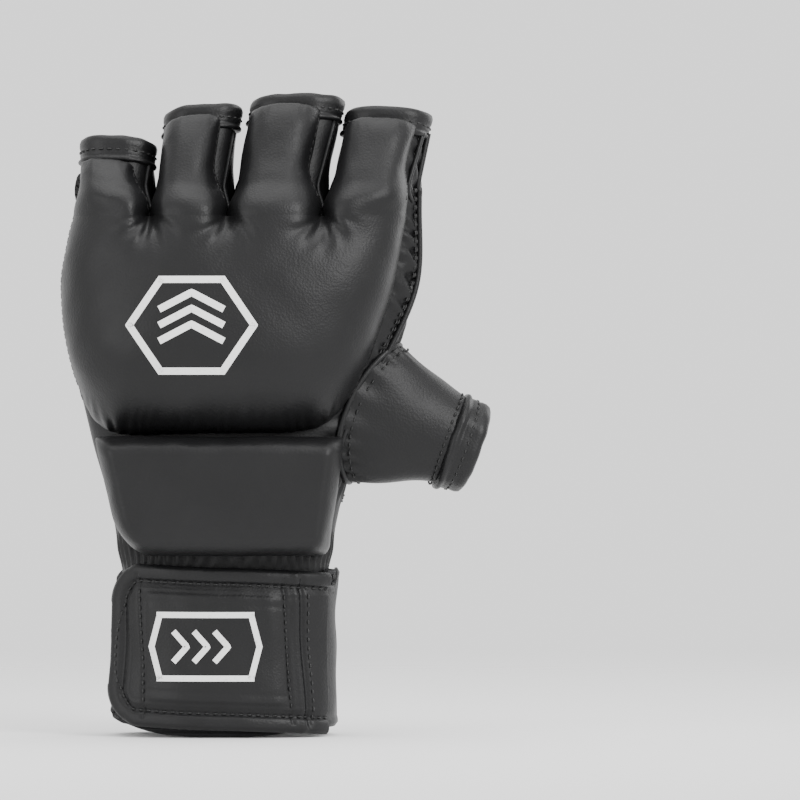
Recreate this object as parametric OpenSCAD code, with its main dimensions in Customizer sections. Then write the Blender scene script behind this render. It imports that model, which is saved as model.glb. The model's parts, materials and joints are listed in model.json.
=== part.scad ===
// Left-hand padded grappling glove with open fingers, standing on its cuff.
// +Z runs to the fingers, the back of the hand faces -Y and the thumb points to +X.
// The origin is the centre of the wrist opening, on the plane of the cuff's rim.

/* [Hand shell] */
// Width across the cuff, over its lining
cuff_w = 75; // [64:1:100]
// Depth of the cuff, over its lining
cuff_d = 44; // [36:1:56]
// Width of the hand at the knuckles, over its lining
palm_w = 124; // [100:1:150]
// Depth of the hand at the knuckles, over its lining
palm_d = 33; // [27:1:42]
// Height of the top of the cuff
wrist_z = 68; // [56:1:84]
// Height of the widest place, at the knuckles
knuckle_z = 167; // [150:1:180]
// Height of the finger roots
root_z = 200; // [190:1:240]
// How far the widest place lies to the thumb's side
hand_shift = 6.5; // [0:0.5:10]
// Squareness of the hand's cross-section
section_power = 2.5; // [2:0.1:3.5]
// Thickness of the leather
leather = 2; // [1.2:0.1:3]
// Thickness of the textile lining
lining = 1.2; // [0.8:0.1:2]

/* [Pads] */
// Thickness of the knuckle pad at its crown, with its cover
knuckle_pad_h = 27; // [15:1:36]
// Height of the knuckle pad's lower edge
knuckle_pad_z = 117; // [112:1:135]
// Thickness of the backhand pad, with its cover
backhand_pad_h = 19; // [10:1:28]
// Height of the backhand pad's upper edge
backhand_top_z = 112; // [100:1:116]
// Thickness of the finger pads at the knuckle end, with their cover
finger_pad_h = 14; // [8:0.5:16]
// Thickness of the pads' leather cover
cover = 1.6; // [1:0.1:2.5]
// Thickness of the pads at their sewn rims
pad_rim = 2.2; // [2:0.1:4]

/* [Fingers] */
// Length of the index sleeve
index_len = 33; // [24:1:44]
// Length of the middle sleeve
middle_len = 38; // [28:1:50]
// Length of the ring sleeve
ring_len = 34; // [26:1:46]
// Length of the little sleeve
little_len = 22; // [18:1:34]
// Depth of a finger sleeve, over its leather
finger_d = 27; // [22:0.5:32]
// Clearance between neighbouring fingers at their roots
finger_gap = 2; // [1.2:0.1:4]
// How far the outer fingers' sides lie inside the hand's edges
finger_inset = 2; // [0:0.5:6]
// How far the fingers lean to the thumb's side, per unit of length
finger_lean = 0.2; // [0:0.01:0.25]
// How far the fingers curl to the palm, per unit of length
finger_curl = 0.2; // [0:0.01:0.35]
// Height of the hem at each sleeve's open end
hem_h = 8; // [5:0.5:10]
// Thickness of a hem
hem_t = 1; // [0.6:0.1:2]
// Gap between each moving sleeve and the hand
joint_gap = 0.6; // [0.4:0.1:1.5]

/* [Thumb] */
// Height of the thumb sleeve's root along its seam
thumb_root_h = 50; // [42:1:56]
// Depth of the thumb sleeve at its root
thumb_root_d = 28; // [24:1:32]
// Height of the thumb sleeve at its open end
thumb_tip_h = 32; // [28:1:38]
// Depth of the thumb sleeve at its open end
thumb_tip_d = 29; // [24:1:34]
// Length of the thumb sleeve
thumb_len = 36; // [28:1:44]
// Height of the middle of the thumb's root seam
thumb_z = 121; // [118:1:124]
// How far the thumb points down, in degrees
thumb_drop = 20; // [14:1:24]
// How far the thumb points to the palm, in degrees
thumb_turn = 10; // [0:1:16]

/* [Palm] */
// Width of the palm opening
opening_w = 76; // [50:1:84]
// Height of the palm opening at the thumb's side
opening_h = 26; // [18:1:30]
// Extra height of the palm opening at the little finger's side
opening_lobe = 15; // [0:1:20]
// Distance from the finger roots down to the palm opening
opening_drop = 8; // [7:0.5:14]
// Radius of the rolled edge around the palm opening
binding_r = 2.2; // [1.2:0.1:3]
// Height of the top of the wrist slit
slit_top_z = 129; // [110:1:134]
// Width of the wrist slit
slit_w = 7; // [4:0.5:10]

/* [Closure] */
// Width of the elastic band and of the strap
band_w = 58; // [46:1:60]
// Height of the elastic band's lower edge
band_z = 4; // [3:0.5:8]
// Thickness of the elastic band
band_t = 2; // [1.2:0.1:3]
// Thickness of the strap
strap_t = 2.4; // [1.6:0.1:4]
// Radius of the rolled edge around the strap
strap_edge_r = 1.7; // [1.2:0.1:2.4]
// Thickness of the hook and of the loop fastener
fastener_t = 1; // [0.6:0.1:1.6]
// Clearance between the fastener's two halves
fastener_gap = 0.4; // [0.3:0.1:1]
// Radius of the strap's rounded end
strap_end_r = 20; // [12:1:24]
// Height of the hem around the cuff's rim
rim_h = 7; // [5:0.5:9]

/* [Hidden] */

leather_black = [0.07, 0.07, 0.075];
piping_black = [0.12, 0.12, 0.125];
textile_black = [0.1, 0.1, 0.11];
foam_grey = [0.35, 0.35, 0.36];

// Directions around the hand, in degrees: 0 thumb's side, 90 palm, 180 little finger, 270 back
thumb_edge_t = 22;
little_palm_t = 163;
little_back_t = 203;
thumb_back_t = 327;
strap_root_t = 332;
strap_end_t = 190;
band_root_t = 335;
band_end_t = 186;

// Clearance under a sewn piece, between its curved faces
sew_gap = 0.3;
// Clearance along the seam of two neighbouring panels, in degrees around the hand
seam_turn = 0.7;
// Clearance between the linings and the leather
lining_gap = 0.6;

// Half of the thumb's window along the root seam, with clearance for the sleeve
window_h = thumb_root_h / 2 + 1;
window_low_z = thumb_z - window_h;
window_high_z = thumb_z + window_h - 1;

// Layers of the cuff, counted outwards from the lining's outer face
band_in = leather + 0.4;
band_out = band_in + band_t;
loop_in = leather + sew_gap;
loop_out = loop_in + fastener_t;
hook_in = loop_out + fastener_gap;
strap_in = hook_in + fastener_t + sew_gap;
strap_out = strap_in + strap_t;
patch_in = strap_out + sew_gap;
patch_out = patch_in + 0.7;

function mix(a, b, k) = a + (b - a) * k;
function clamp(k) = min(1, max(0, k));
function ease(k) = clamp(k) * clamp(k) * (3 - 2 * clamp(k));
function signed_power(v, p) = sign(v) * pow(abs(v), p);

// Edges and depth of the hand's section at a height, over the lining
little_edge_table = [
    [0, -cuff_w / 2], [wrist_z, -cuff_w / 2 + 1],
    [mix(wrist_z, knuckle_z, 0.45), mix(-cuff_w / 2, hand_shift - palm_w / 2, 0.45)],
    [mix(wrist_z, knuckle_z, 0.75), mix(-cuff_w / 2, hand_shift - palm_w / 2, 0.8)],
    [knuckle_z, hand_shift - palm_w / 2], [root_z, hand_shift - palm_w / 2 + 2]
];
thumb_edge_table = [
    [0, cuff_w / 2], [wrist_z, cuff_w / 2 + 1],
    [mix(wrist_z, knuckle_z, 0.45), mix(cuff_w / 2, hand_shift + palm_w / 2, 0.45)],
    [mix(wrist_z, knuckle_z, 0.75), mix(cuff_w / 2, hand_shift + palm_w / 2, 0.75)],
    [knuckle_z, hand_shift + palm_w / 2], [root_z, hand_shift + palm_w / 2 + 3]
];
half_depth_table = [
    [0, cuff_d / 2], [wrist_z, cuff_d / 2 - 1], [knuckle_z, palm_d / 2],
    [root_z, finger_d / 2 - leather + 0.5]
];

function little_edge(z) = lookup(z, little_edge_table);
function thumb_edge(z) = lookup(z, thumb_edge_table);
function half_depth(z) = lookup(z, half_depth_table);

// A point of the hand's surface at direction t and height z, a distance d outside the lining
function hand(t, z, d) =
    let (c = (thumb_edge(z) + little_edge(z)) / 2)
    let (a = (thumb_edge(z) - little_edge(z)) / 2 + d)
    let (b = half_depth(z) + d)
    [
        c + a * signed_power(cos(t), 2 / section_power),
        b * signed_power(sin(t), 2 / section_power),
        z
    ];

// The palm's outer face at a given x and height
function palm_y(x, z, d) =
    let (c = (thumb_edge(z) + little_edge(z)) / 2)
    let (a = (thumb_edge(z) - little_edge(z)) / 2 + d)
    let (k = min(0.999, abs(x - c) / a))
    (half_depth(z) + d) * pow(1 - pow(k, section_power), 1 / section_power);

function split(a, b, c, d) = [[a, b, c], [a, c, d]];

// A closed solid between an inner and an outer grid of points; a closed one goes all the way round
module between(inner, outer, closed = false) {
    nu = len(outer);
    nv = len(outer[0]);
    count = nu * nv;
    last = closed ? nu - 1 : nu - 2;
    function at(i, j) = (i % nu) * nv + j;
    skin = [
        for (i = [0:last], j = [0:nv - 2])
            each split(at(i, j), at(i, j + 1), at(i + 1, j + 1), at(i + 1, j))
    ];
    inside = [
        for (i = [0:last], j = [0:nv - 2])
            each split(count + at(i, j), count + at(i + 1, j), count + at(i + 1, j + 1),
                count + at(i, j + 1))
    ];
    low = [
        for (i = [0:last])
            each split(at(i, 0), at(i + 1, 0), count + at(i + 1, 0), count + at(i, 0))
    ];
    high = [
        for (i = [0:last])
            each split(at(i + 1, nv - 1), at(i, nv - 1), count + at(i, nv - 1),
                count + at(i + 1, nv - 1))
    ];
    ends = closed ? [] : [
        for (j = [0:nv - 2])
            each concat(
                split(at(0, j + 1), at(0, j), count + at(0, j), count + at(0, j + 1)),
                split(at(nu - 1, j), at(nu - 1, j + 1), count + at(nu - 1, j + 1),
                    count + at(nu - 1, j))
            )
    ];
    polyhedron(
        points = concat([for (row = outer) each row], [for (row = inner) each row]),
        faces = concat(skin, inside, low, high, ends),
        convexity = 8
    );
}

// A round tube swept along a list of points; a closed one joins its own start
module tube(path, r, closed = false, sides = 8) {
    count = len(path);
    function step(i) = closed ? (i + count) % count : min(count - 1, max(0, i));
    function along(i) = let (v = path[step(i + 1)] - path[step(i - 1)]) v / norm(v);
    function across(i) = let (w = cross(along(i), [0, 1, 0])) w / norm(w);
    ring = [
        for (i = [0:count - 1])
            let (u = across(i))
            let (w = cross(u, along(i)))
            [for (k = [0:sides - 1]) path[i] + r * (cos(360 * k / sides) * u + sin(360 * k / sides) * w)]
    ];
    last = closed ? count - 1 : count - 2;
    function at(i, k) = (i % count) * sides + (k % sides);
    skin = [
        for (i = [0:last], k = [0:sides - 1])
            each split(at(i, k), at(i, k + 1), at(i + 1, k + 1), at(i + 1, k))
    ];
    caps = closed ? [] : [
        [for (k = [sides - 1:-1:0]) at(0, k)],
        [for (k = [0:sides - 1]) at(count - 1, k)]
    ];
    polyhedron(
        points = [for (row = ring) each row],
        faces = concat(skin, caps),
        convexity = 8
    );
}

// A sheet of the hand's shell between two directions and two heights
module hand_sheet(t0, t1, z0, z1, d0, d1, nt, nz) {
    closed = t1 - t0 == 360;
    steps = closed ? nt - 1 : nt;
    function grid(d) = [
        for (i = [0:steps])
            [for (j = [0:nz]) hand(mix(t0, t1, i / nt), mix(z0, z1, j / nz), d)]
    ];
    between(grid(d0), grid(d1), closed);
}

/* ---- The hand ---- */

module hand_lining() {
    color(textile_black)
        hand_sheet(little_back_t, thumb_back_t, wrist_z, root_z, -lining - lining_gap, -lining_gap, 16, 8);
}

// The palm opening's edge at an angle: wider than high, with a deep lobe at the little finger's side
opening_top_z = root_z - opening_drop;
opening_mid_z = opening_top_z - opening_h / 2;
function opening_x(a, grow) = -1 + (opening_w / 2 + grow) * signed_power(cos(a), 0.7);
function opening_z(a, grow) =
    let (lobe = ease(0.45 - cos(a) * 0.9) * opening_lobe)
    let (reach = opening_h / 2 + grow + (sin(a) < 0 ? lobe : 0))
    opening_mid_z + reach * signed_power(sin(a), 0.7);

// The wrist slit's middle line leans to the little finger's side as it goes down
function slit_x(z) = mix(-20, -7, (z - 60) / 70);
slit_low_z = band_z + band_w - 2;

module palm_panel() {
    color(leather_black) difference() {
        hand_sheet(thumb_edge_t, little_palm_t, rim_h + 0.5, root_z, 0, leather, 20, 12);
        translate([0, palm_d, 0]) rotate([90, 0, 0])
            linear_extrude(palm_d)
                polygon([for (a = [0:15:345]) [opening_x(a, 0), opening_z(a, 0)]]);
        translate([0, cuff_d, 0]) rotate([90, 0, 0])
            linear_extrude(cuff_d)
                polygon([
                    [slit_x(0) - slit_w / 2, -1],
                    for (a = [180:-30:0])
                        [slit_x(slit_top_z) + slit_w / 2 * cos(a),
                            slit_top_z - slit_w / 2 + slit_w / 2 * sin(a)],
                    [slit_x(0) + slit_w / 2, -1]
                ]);
    }
}

module palm_opening_binding() {
    color(piping_black) tube(
        [
            for (a = [0:9:351])
                let (x = opening_x(a, binding_r * 0.2))
                let (z = opening_z(a, binding_r * 0.2))
                [x, palm_y(x, z, leather) + binding_r * 0.6, z]
        ],
        binding_r, closed = true
    );
}

module little_side_panel() {
    color(leather_black)
        hand_sheet(little_palm_t + seam_turn, little_back_t - seam_turn, rim_h + 0.5, root_z,
            0, leather, 8, 12);
}

module back_panel() {
    color(textile_black)
        hand_sheet(little_back_t, thumb_back_t, wrist_z + 0.5, root_z, 0, leather, 16, 8);
}

module thumb_side_gusset() {
    color(leather_black)
        hand_sheet(thumb_back_t - 360 + seam_turn, thumb_edge_t - seam_turn, window_high_z, root_z,
            0, leather, 8, 4);
}

module thumb_heel_panel() {
    color(leather_black)
        hand_sheet(thumb_back_t - 360 + seam_turn, thumb_edge_t - seam_turn, rim_h + 0.5, window_low_z,
            0, leather, 8, 6);
}

/* ---- The pads ---- */

// A pad's rise over its rim, from 0 at the edges to 1 at the crown; k runs across it
function across_rise(k, p) = pow(max(0, 1 - pow(abs(2 * k - 1), p)), 0.5);
function edge_rise(k, reach) = k >= reach ? 1 : pow(1 - pow(1 - k / reach, 2.4), 0.5);

// A point of a pad that rises straight back from the hand; under is its inner face
function pad_spot(t, z, rise, skin) =
    skin == "under" ? hand(t, z, leather + sew_gap)
        : hand(t, z, leather + pad_rim - skin) - [0, rise, 0];

knuckle_little_t = 192;
knuckle_thumb_t = 334;

// The knuckle pad at k across and m up: its place and its rise
function knuckle_spot(k, m, skin) =
    let (low = knuckle_pad_z + 13 * pow(abs(2 * k - 1), 4))
    let (taper = 1 - 0.42 * ease((m - 0.45) / 0.55))
    let (rise = across_rise(k, 3.2) * edge_rise(m, 0.4) * taper)
    pad_spot(mix(knuckle_little_t, knuckle_thumb_t, k), mix(low, root_z, m),
        (knuckle_pad_h - pad_rim) * rise, skin);

// The cover and its foam share one grid of spots; the foam leaves out those at the sewn rim
module knuckle_grid(rim, low_skin, high_skin) {
    nk = 18;
    nm = 12;
    function grid(skin) = [
        for (i = [rim:nk - rim])
            [for (j = [rim:nm]) knuckle_spot(i / nk, j / nm, skin)]
    ];
    between(grid(low_skin), grid(high_skin));
}

module knuckle_pad_cover() {
    color(leather_black) knuckle_grid(0, cover, 0);
}

module knuckle_pad_foam() {
    color(foam_grey) knuckle_grid(1, "under", cover + sew_gap);
}

backhand_little_t = 201;
backhand_thumb_t = 326;
backhand_low_z = wrist_z + 2;

// The backhand pad is a flat box with bevelled sides, a little narrower at the wrist
function bevel(k, reach) = clamp(min(k, 1 - k) / reach);
function backhand_spot(k, m, skin) =
    let (narrow = 8 * (1 - m))
    let (rise = pow(bevel(k, 0.12) * bevel(m, 0.22), 0.6))
    pad_spot(mix(backhand_little_t + narrow, backhand_thumb_t - narrow / 2, k),
        mix(backhand_low_z, backhand_top_z, m), (backhand_pad_h - pad_rim) * rise, skin);

module backhand_grid(rim, low_skin, high_skin) {
    nk = 18;
    nm = 9;
    function grid(skin) = [
        for (i = [rim:nk - rim])
            [for (j = [rim:nm - rim]) backhand_spot(i / nk, j / nm, skin)]
    ];
    between(grid(low_skin), grid(high_skin));
}

module backhand_pad_cover() {
    color(leather_black) backhand_grid(0, cover, 0);
}

module backhand_pad_foam() {
    color(foam_grey) backhand_grid(1, "under", cover + sew_gap);
}

/* ---- The fingers ---- */

// Each finger: middle of its root, width at the root, sleeve length, extra lean
finger_span = thumb_edge(root_z) - little_edge(root_z) + 2 * (leather - finger_inset);
finger_unit = (finger_span - 3 * finger_gap) / 4.16;
finger_left = little_edge(root_z) - leather + finger_inset;
little_wide = finger_unit * 0.94;
ring_wide = finger_unit * 0.955;
middle_wide = finger_unit * 1.17;
index_wide = finger_unit * 1.095;
little_x = finger_left + little_wide / 2;
ring_x = little_x + (little_wide + ring_wide) / 2 + finger_gap;
middle_x = ring_x + (ring_wide + middle_wide) / 2 + finger_gap;
index_x = middle_x + (middle_wide + index_wide) / 2 + finger_gap;

// x, width, length, lean
INDEX = [index_x, index_wide, index_len, finger_lean * 1.3];
MIDDLE = [middle_x, middle_wide, middle_len, finger_lean * 1.15];
RING = [ring_x, ring_wide, ring_len, finger_lean * 0.8];
LITTLE = [little_x, little_wide, little_len, finger_lean * 0.6];

finger_z = root_z + joint_gap;

// A point of a finger sleeve, a distance d outside the inner face of its leather
function finger(f, t, s, d) =
    [
        f[0] + f[3] * s + (f[1] / 2 - leather + d) * signed_power(cos(t), 0.8),
        finger_curl * s + (finger_d / 2 - leather + d) * signed_power(sin(t), 0.8),
        finger_z + s
    ];

module finger_ring(f, s0, s1, d0, d1, ns) {
    nt = 24;
    function grid(d) = [
        for (i = [0:nt - 1])
            [for (j = [0:ns]) finger(f, 360 * i / nt, mix(s0, s1, j / ns), d)]
    ];
    between(grid(d0), grid(d1), closed = true);
}

module finger_sleeve(f) {
    color(leather_black) finger_ring(f, 0, f[2], 0, leather, 2);
}

module finger_hem(f) {
    color(piping_black) finger_ring(f, f[2] - hem_h, f[2] + 0.5, leather, leather + hem_t, 1);
}

// A finger pad rises straight back from its sleeve and thins towards the hem
function finger_pad_spot(f, k, m, skin) =
    let (rise = across_rise(k, 2.6) * (1 - 0.65 * ease(m)) * (finger_pad_h - pad_rim))
    let (back = skin == "under" ? sew_gap : pad_rim - skin + rise)
    finger(f, mix(215, 325, k), m * (f[2] - hem_h - 0.5), leather) - [0, back, 0];

module finger_pad(f, rim, low_skin, high_skin) {
    nk = 10;
    nm = 5;
    function grid(skin) = [
        for (i = [rim:nk - rim])
            [for (j = [0:nm - rim]) finger_pad_spot(f, i / nk, j / nm, skin)]
    ];
    between(grid(low_skin), grid(high_skin));
}

module finger_pad_cover(f) {
    color(leather_black) finger_pad(f, 0, cover, 0);
}

module finger_pad_foam(f) {
    color(foam_grey) finger_pad(f, 1, "under", cover + sew_gap);
}

// A web closes the hand between two fingers
module finger_web(left, right) {
    x = ((left[0] + left[1] / 2) + (right[0] - right[1] / 2)) / 2;
    wide = finger_gap + 2 * leather;
    deep = 2 * palm_y(x, root_z, -lining - lining_gap) - 1;
    color(leather_black)
        translate([x, 0, root_z - wide])
            rotate([90, 0, 0])
                linear_extrude(deep, center = true)
                    difference() {
                        translate([-wide / 2, 0]) square([wide, wide]);
                        translate([0, wide * 1.15]) circle(d = wide * 0.8, $fn = 48);
                    }
}

module web_index_middle() { finger_web(MIDDLE, INDEX); }
module web_middle_ring() { finger_web(RING, MIDDLE); }
module web_ring_little() { finger_web(LITTLE, RING); }

module index_sleeve() { finger_sleeve(INDEX); }
module index_pad_cover() { finger_pad_cover(INDEX); }
module index_pad_foam() { finger_pad_foam(INDEX); }
module index_hem() { finger_hem(INDEX); }
module middle_sleeve() { finger_sleeve(MIDDLE); }
module middle_pad_cover() { finger_pad_cover(MIDDLE); }
module middle_pad_foam() { finger_pad_foam(MIDDLE); }
module middle_hem() { finger_hem(MIDDLE); }
module ring_sleeve() { finger_sleeve(RING); }
module ring_pad_cover() { finger_pad_cover(RING); }
module ring_pad_foam() { finger_pad_foam(RING); }
module ring_hem() { finger_hem(RING); }
module little_sleeve() { finger_sleeve(LITTLE); }
module little_pad_cover() { finger_pad_cover(LITTLE); }
module little_pad_foam() { finger_pad_foam(LITTLE); }
module little_hem() { finger_hem(LITTLE); }

/* ---- The thumb ---- */

// How far the sleeve's root stands off the hand's edge
root_step = 3;
thumb_root_x = (thumb_edge(window_low_z) + thumb_edge(window_high_z)) / 2 + leather + root_step;
thumb_root_y = 0;

module at_thumb() {
    translate([thumb_root_x, thumb_root_y, thumb_z - 1])
        rotate([0, 0, thumb_turn])
            rotate([0, 90 + thumb_drop, 0])
                children();
}

// A point of the thumb sleeve in its own frame, where +Z runs out of the hand and -X is up
function thumb(t, s, d) =
    let (k = s / thumb_len)
    let (a = mix(thumb_root_h, thumb_tip_h, pow(k, 0.7)) / 2 - leather + d)
    let (b = mix(thumb_root_d, thumb_tip_d, k) / 2 - leather + d)
    [a * signed_power(cos(t), 0.85), b * signed_power(sin(t), 0.85), s];

module thumb_ring(s0, s1, d0, d1, ns) {
    nt = 28;
    function grid(d) = [
        for (i = [0:nt - 1])
            [for (j = [0:ns]) thumb(360 * i / nt, mix(s0, s1, j / ns), d)]
    ];
    between(grid(d0), grid(d1), closed = true);
}

module thumb_sleeve() {
    color(leather_black) at_thumb() thumb_ring(0, thumb_len, 0, leather, 5);
}

module thumb_hem() {
    color(piping_black)
        at_thumb() thumb_ring(thumb_len - hem_h, thumb_len + 0.5, leather, leather + hem_t, 2);
}

/* ---- The wrist ---- */

module wrist_slit_binding() {
    low = slit_low_z + 8;
    reach = slit_w / 2 + 1;
    flat_path = concat(
        [for (z = [low:6:slit_top_z - 8]) [slit_x(z) - reach, z]],
        [for (a = [180:-30:0])
            [slit_x(slit_top_z) + reach * cos(a), slit_top_z - reach + reach * sin(a)]],
        [for (z = [slit_top_z - 8:-6:low]) [slit_x(z) + reach, z]]
    );
    color(piping_black)
        tube([for (p = flat_path) [p[0], palm_y(p[0], p[1], leather) + 1, p[1]]], 1.5);
}

module wrist_slit_insert() {
    nz = 8;
    half = slit_w / 2 + 4;
    function grid(d) = [
        for (i = [0:4])
            [
                for (j = [0:nz])
                    let (z = mix(wrist_z + 1, slit_top_z + 3, j / nz))
                    let (x = slit_x(z) + mix(half, -half, i / 4))
                    [x, palm_y(x, z, d), z]
            ]
    ];
    color(textile_black) between(grid(-lining - lining_gap), grid(-lining_gap));
}

module cuff_lining() {
    color(textile_black)
        hand_sheet(0, 360, 0, wrist_z - 0.5, -lining - lining_gap, -lining_gap, 40, 2);
}

module cuff_panel() {
    color(leather_black)
        hand_sheet(little_back_t, thumb_back_t, rim_h + 0.5, wrist_z, 0, leather, 16, 2);
}

module cuff_rim_hem() {
    color(textile_black) hand_sheet(0, 360, 0, rim_h, 0, leather - 0.4, 40, 1);
}

/* ---- The closure ---- */

module elastic_band() {
    color(textile_black)
        hand_sheet(band_root_t - 360, band_end_t, band_z, band_z + band_w, band_in, band_out, 24, 2);
}

module loop_fastener() {
    color(textile_black)
        hand_sheet(218, 320, band_z + 7, band_z + band_w - 7, loop_in, loop_out, 12, 1);
}

// The strap's upper and lower edge; both fall a little from the free end to the root
strap_middle_z = band_z + band_w / 2;
strap_fall = 4;
strap_reach = (cuff_w + cuff_d) * 0.86;

// Half height of the strap at k, from 0 at its free end to 1 at its root
function strap_half(k) =
    let (s = k * strap_reach)
    let (rest = band_w / 2 - strap_end_r)
    s >= strap_end_r ? band_w / 2
        : rest + sqrt(max(0, pow(strap_end_r, 2) - pow(strap_end_r - s, 2)));
function strap_t_at(k) = mix(strap_end_t, strap_root_t, k);
function strap_spot(k, up, d) =
    hand(strap_t_at(k), strap_middle_z + strap_fall * (0.5 - k) + up * strap_half(k), d);

module strap_sheet(k0, k1, up0, up1, d0, d1, nk, nz) {
    function grid(d) = [
        for (i = [0:nk])
            [for (j = [0:nz]) strap_spot(mix(k0, k1, i / nk), mix(up0, up1, j / nz), d)]
    ];
    between(grid(d0), grid(d1));
}

// The strap's columns of facets; the hook fastener keeps to some of them
strap_columns = 28;

module strap_tab() {
    color(leather_black) strap_sheet(0, 1, -0.96, 0.96, strap_in, strap_out, strap_columns, 2);
}

module strap_edge_binding() {
    d = strap_out - strap_edge_r * 0.4;
    color(piping_black)
        tube(
            concat(
                [for (i = [24:-1:0]) strap_spot(pow(i / 24, 1.5) * 0.985, -1, d)],
                [strap_spot(0, 0, d)],
                [for (i = [0:24]) strap_spot(pow(i / 24, 1.5) * 0.985, 1, d)]
            ),
            strap_edge_r
        );
}

module strap_patch() {
    color(leather_black) strap_sheet(0.2, 0.84, -0.84, 0.84, patch_in, patch_out, 16, 1);
}

module hook_fastener() {
    first = 5;
    last = 17;
    color(textile_black)
        strap_sheet(first / strap_columns, last / strap_columns, -0.74, 0.74,
            hook_in, hook_in + fastener_t, last - first, 2);
}

hand_lining();
palm_panel();
palm_opening_binding();
little_side_panel();
back_panel();
thumb_side_gusset();
thumb_heel_panel();
knuckle_pad_cover();
knuckle_pad_foam();
backhand_pad_cover();
backhand_pad_foam();
web_index_middle();
web_middle_ring();
web_ring_little();
wrist_slit_binding();
wrist_slit_insert();
cuff_lining();
cuff_panel();
cuff_rim_hem();
elastic_band();
loop_fastener();
index_sleeve();
index_pad_cover();
index_pad_foam();
index_hem();
middle_sleeve();
middle_pad_cover();
middle_pad_foam();
middle_hem();
ring_sleeve();
ring_pad_cover();
ring_pad_foam();
ring_hem();
little_sleeve();
little_pad_cover();
little_pad_foam();
little_hem();
thumb_sleeve();
thumb_hem();
strap_tab();
strap_edge_binding();
strap_patch();
hook_fastener();
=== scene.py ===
"""A left-hand padded grappling glove with open fingers, standing on its cuff.

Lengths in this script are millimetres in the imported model's own frame; to_metres() scales them once,
where a mesh is made. +Z runs to the fingers, the back of the hand faces -Y, the thumb points to +X.
"""
import json
import math

import bpy
import numpy as np
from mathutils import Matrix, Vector
from mathutils.bvhtree import BVHTree


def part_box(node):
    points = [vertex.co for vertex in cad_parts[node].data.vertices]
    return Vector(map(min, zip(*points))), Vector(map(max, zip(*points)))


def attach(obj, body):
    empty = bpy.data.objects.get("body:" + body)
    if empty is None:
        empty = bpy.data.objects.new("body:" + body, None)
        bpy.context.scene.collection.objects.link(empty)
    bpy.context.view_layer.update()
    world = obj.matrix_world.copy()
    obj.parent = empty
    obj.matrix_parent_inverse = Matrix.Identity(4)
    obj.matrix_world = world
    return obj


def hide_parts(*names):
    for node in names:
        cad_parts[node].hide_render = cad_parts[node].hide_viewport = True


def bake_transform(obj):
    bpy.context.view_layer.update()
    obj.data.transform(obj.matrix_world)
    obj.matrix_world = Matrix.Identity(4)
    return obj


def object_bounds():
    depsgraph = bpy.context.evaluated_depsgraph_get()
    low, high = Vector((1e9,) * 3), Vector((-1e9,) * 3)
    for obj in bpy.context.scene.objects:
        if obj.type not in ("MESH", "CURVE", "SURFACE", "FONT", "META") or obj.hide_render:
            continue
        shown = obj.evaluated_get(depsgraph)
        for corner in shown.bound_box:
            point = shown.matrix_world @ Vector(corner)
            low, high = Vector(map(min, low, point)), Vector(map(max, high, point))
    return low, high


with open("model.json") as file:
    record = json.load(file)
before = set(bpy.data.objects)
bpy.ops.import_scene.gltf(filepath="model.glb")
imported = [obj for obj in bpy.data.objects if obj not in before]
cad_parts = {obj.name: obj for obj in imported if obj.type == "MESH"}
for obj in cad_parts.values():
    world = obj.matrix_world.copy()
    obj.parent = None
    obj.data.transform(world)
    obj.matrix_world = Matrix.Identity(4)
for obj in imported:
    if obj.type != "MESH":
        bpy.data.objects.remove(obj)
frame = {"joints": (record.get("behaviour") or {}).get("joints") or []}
cad_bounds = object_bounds()

MM = 0.001
TAU = 2 * math.pi


# ---------------------------------------------------------------- numbers from the frame

def node_box(name):
    """Lowest and highest corner of a CAD node, in millimetres."""
    low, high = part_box(name)
    return np.array(low) / MM, np.array(high) / MM


JOINTS = {j["child"]: j for j in frame["joints"]}
LEATHER = 2.0
LINING = 1.4

cuff_low, cuff_high = node_box("cuff_lining")
_, palm_high = node_box("palm_panel")
side_low, _ = node_box("little_side_panel")
gusset_low, gusset_high = node_box("thumb_side_gusset")
_, heel_high = node_box("thumb_heel_panel")
knuckle_low, knuckle_high = node_box("knuckle_pad_cover")
backhand_low, backhand_high = node_box("backhand_pad_cover")
band_low, band_high = node_box("elastic_band")
strap_low, strap_high = node_box("strap_tab")

ROOT_Z = palm_high[2]
WRIST_Z = cuff_high[2]
KNUCKLE_Z = ROOT_Z - 33
CUFF_A = (cuff_high[0] - cuff_low[0]) / 2
CUFF_B = (cuff_high[1] - cuff_low[1]) / 2
LITTLE_X = side_low[0]
THUMB_X = gusset_high[0]
ROOT_B = 13.5           # half the depth of a finger's sleeve
ROOT_ROUNDS = 13.0      # height over which a finger's root turns from the hand's section to its own
THREAD_GAP = 1.2        # pitch of a line that stitches or piping follow


# ---------------------------------------------------------------- small maths

def smooth(value, table):
    """A smooth curve through (position, value) pairs, flat beyond its ends."""
    xs = np.array([p[0] for p in table], float)
    ys = np.array([p[1] for p in table], float)
    slopes = np.gradient(ys, xs)
    v = np.clip(np.asarray(value, float), xs[0], xs[-1])
    i = np.clip(np.searchsorted(xs, v) - 1, 0, len(xs) - 2)
    h = xs[i + 1] - xs[i]
    k = (v - xs[i]) / h
    return ((2 * k**3 - 3 * k**2 + 1) * ys[i] + (k**3 - 2 * k**2 + k) * h * slopes[i]
            + (-2 * k**3 + 3 * k**2) * ys[i + 1] + (k**3 - k**2) * h * slopes[i + 1])


def ease(k):
    k = np.clip(k, 0, 1)
    return k * k * (3 - 2 * k)


def mix(a, b, k):
    return a + (b - a) * k


def power(v, p):
    return np.sign(v) * np.abs(v) ** p


def bump(v, width):
    return np.exp(-(v / width) ** 2)


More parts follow.
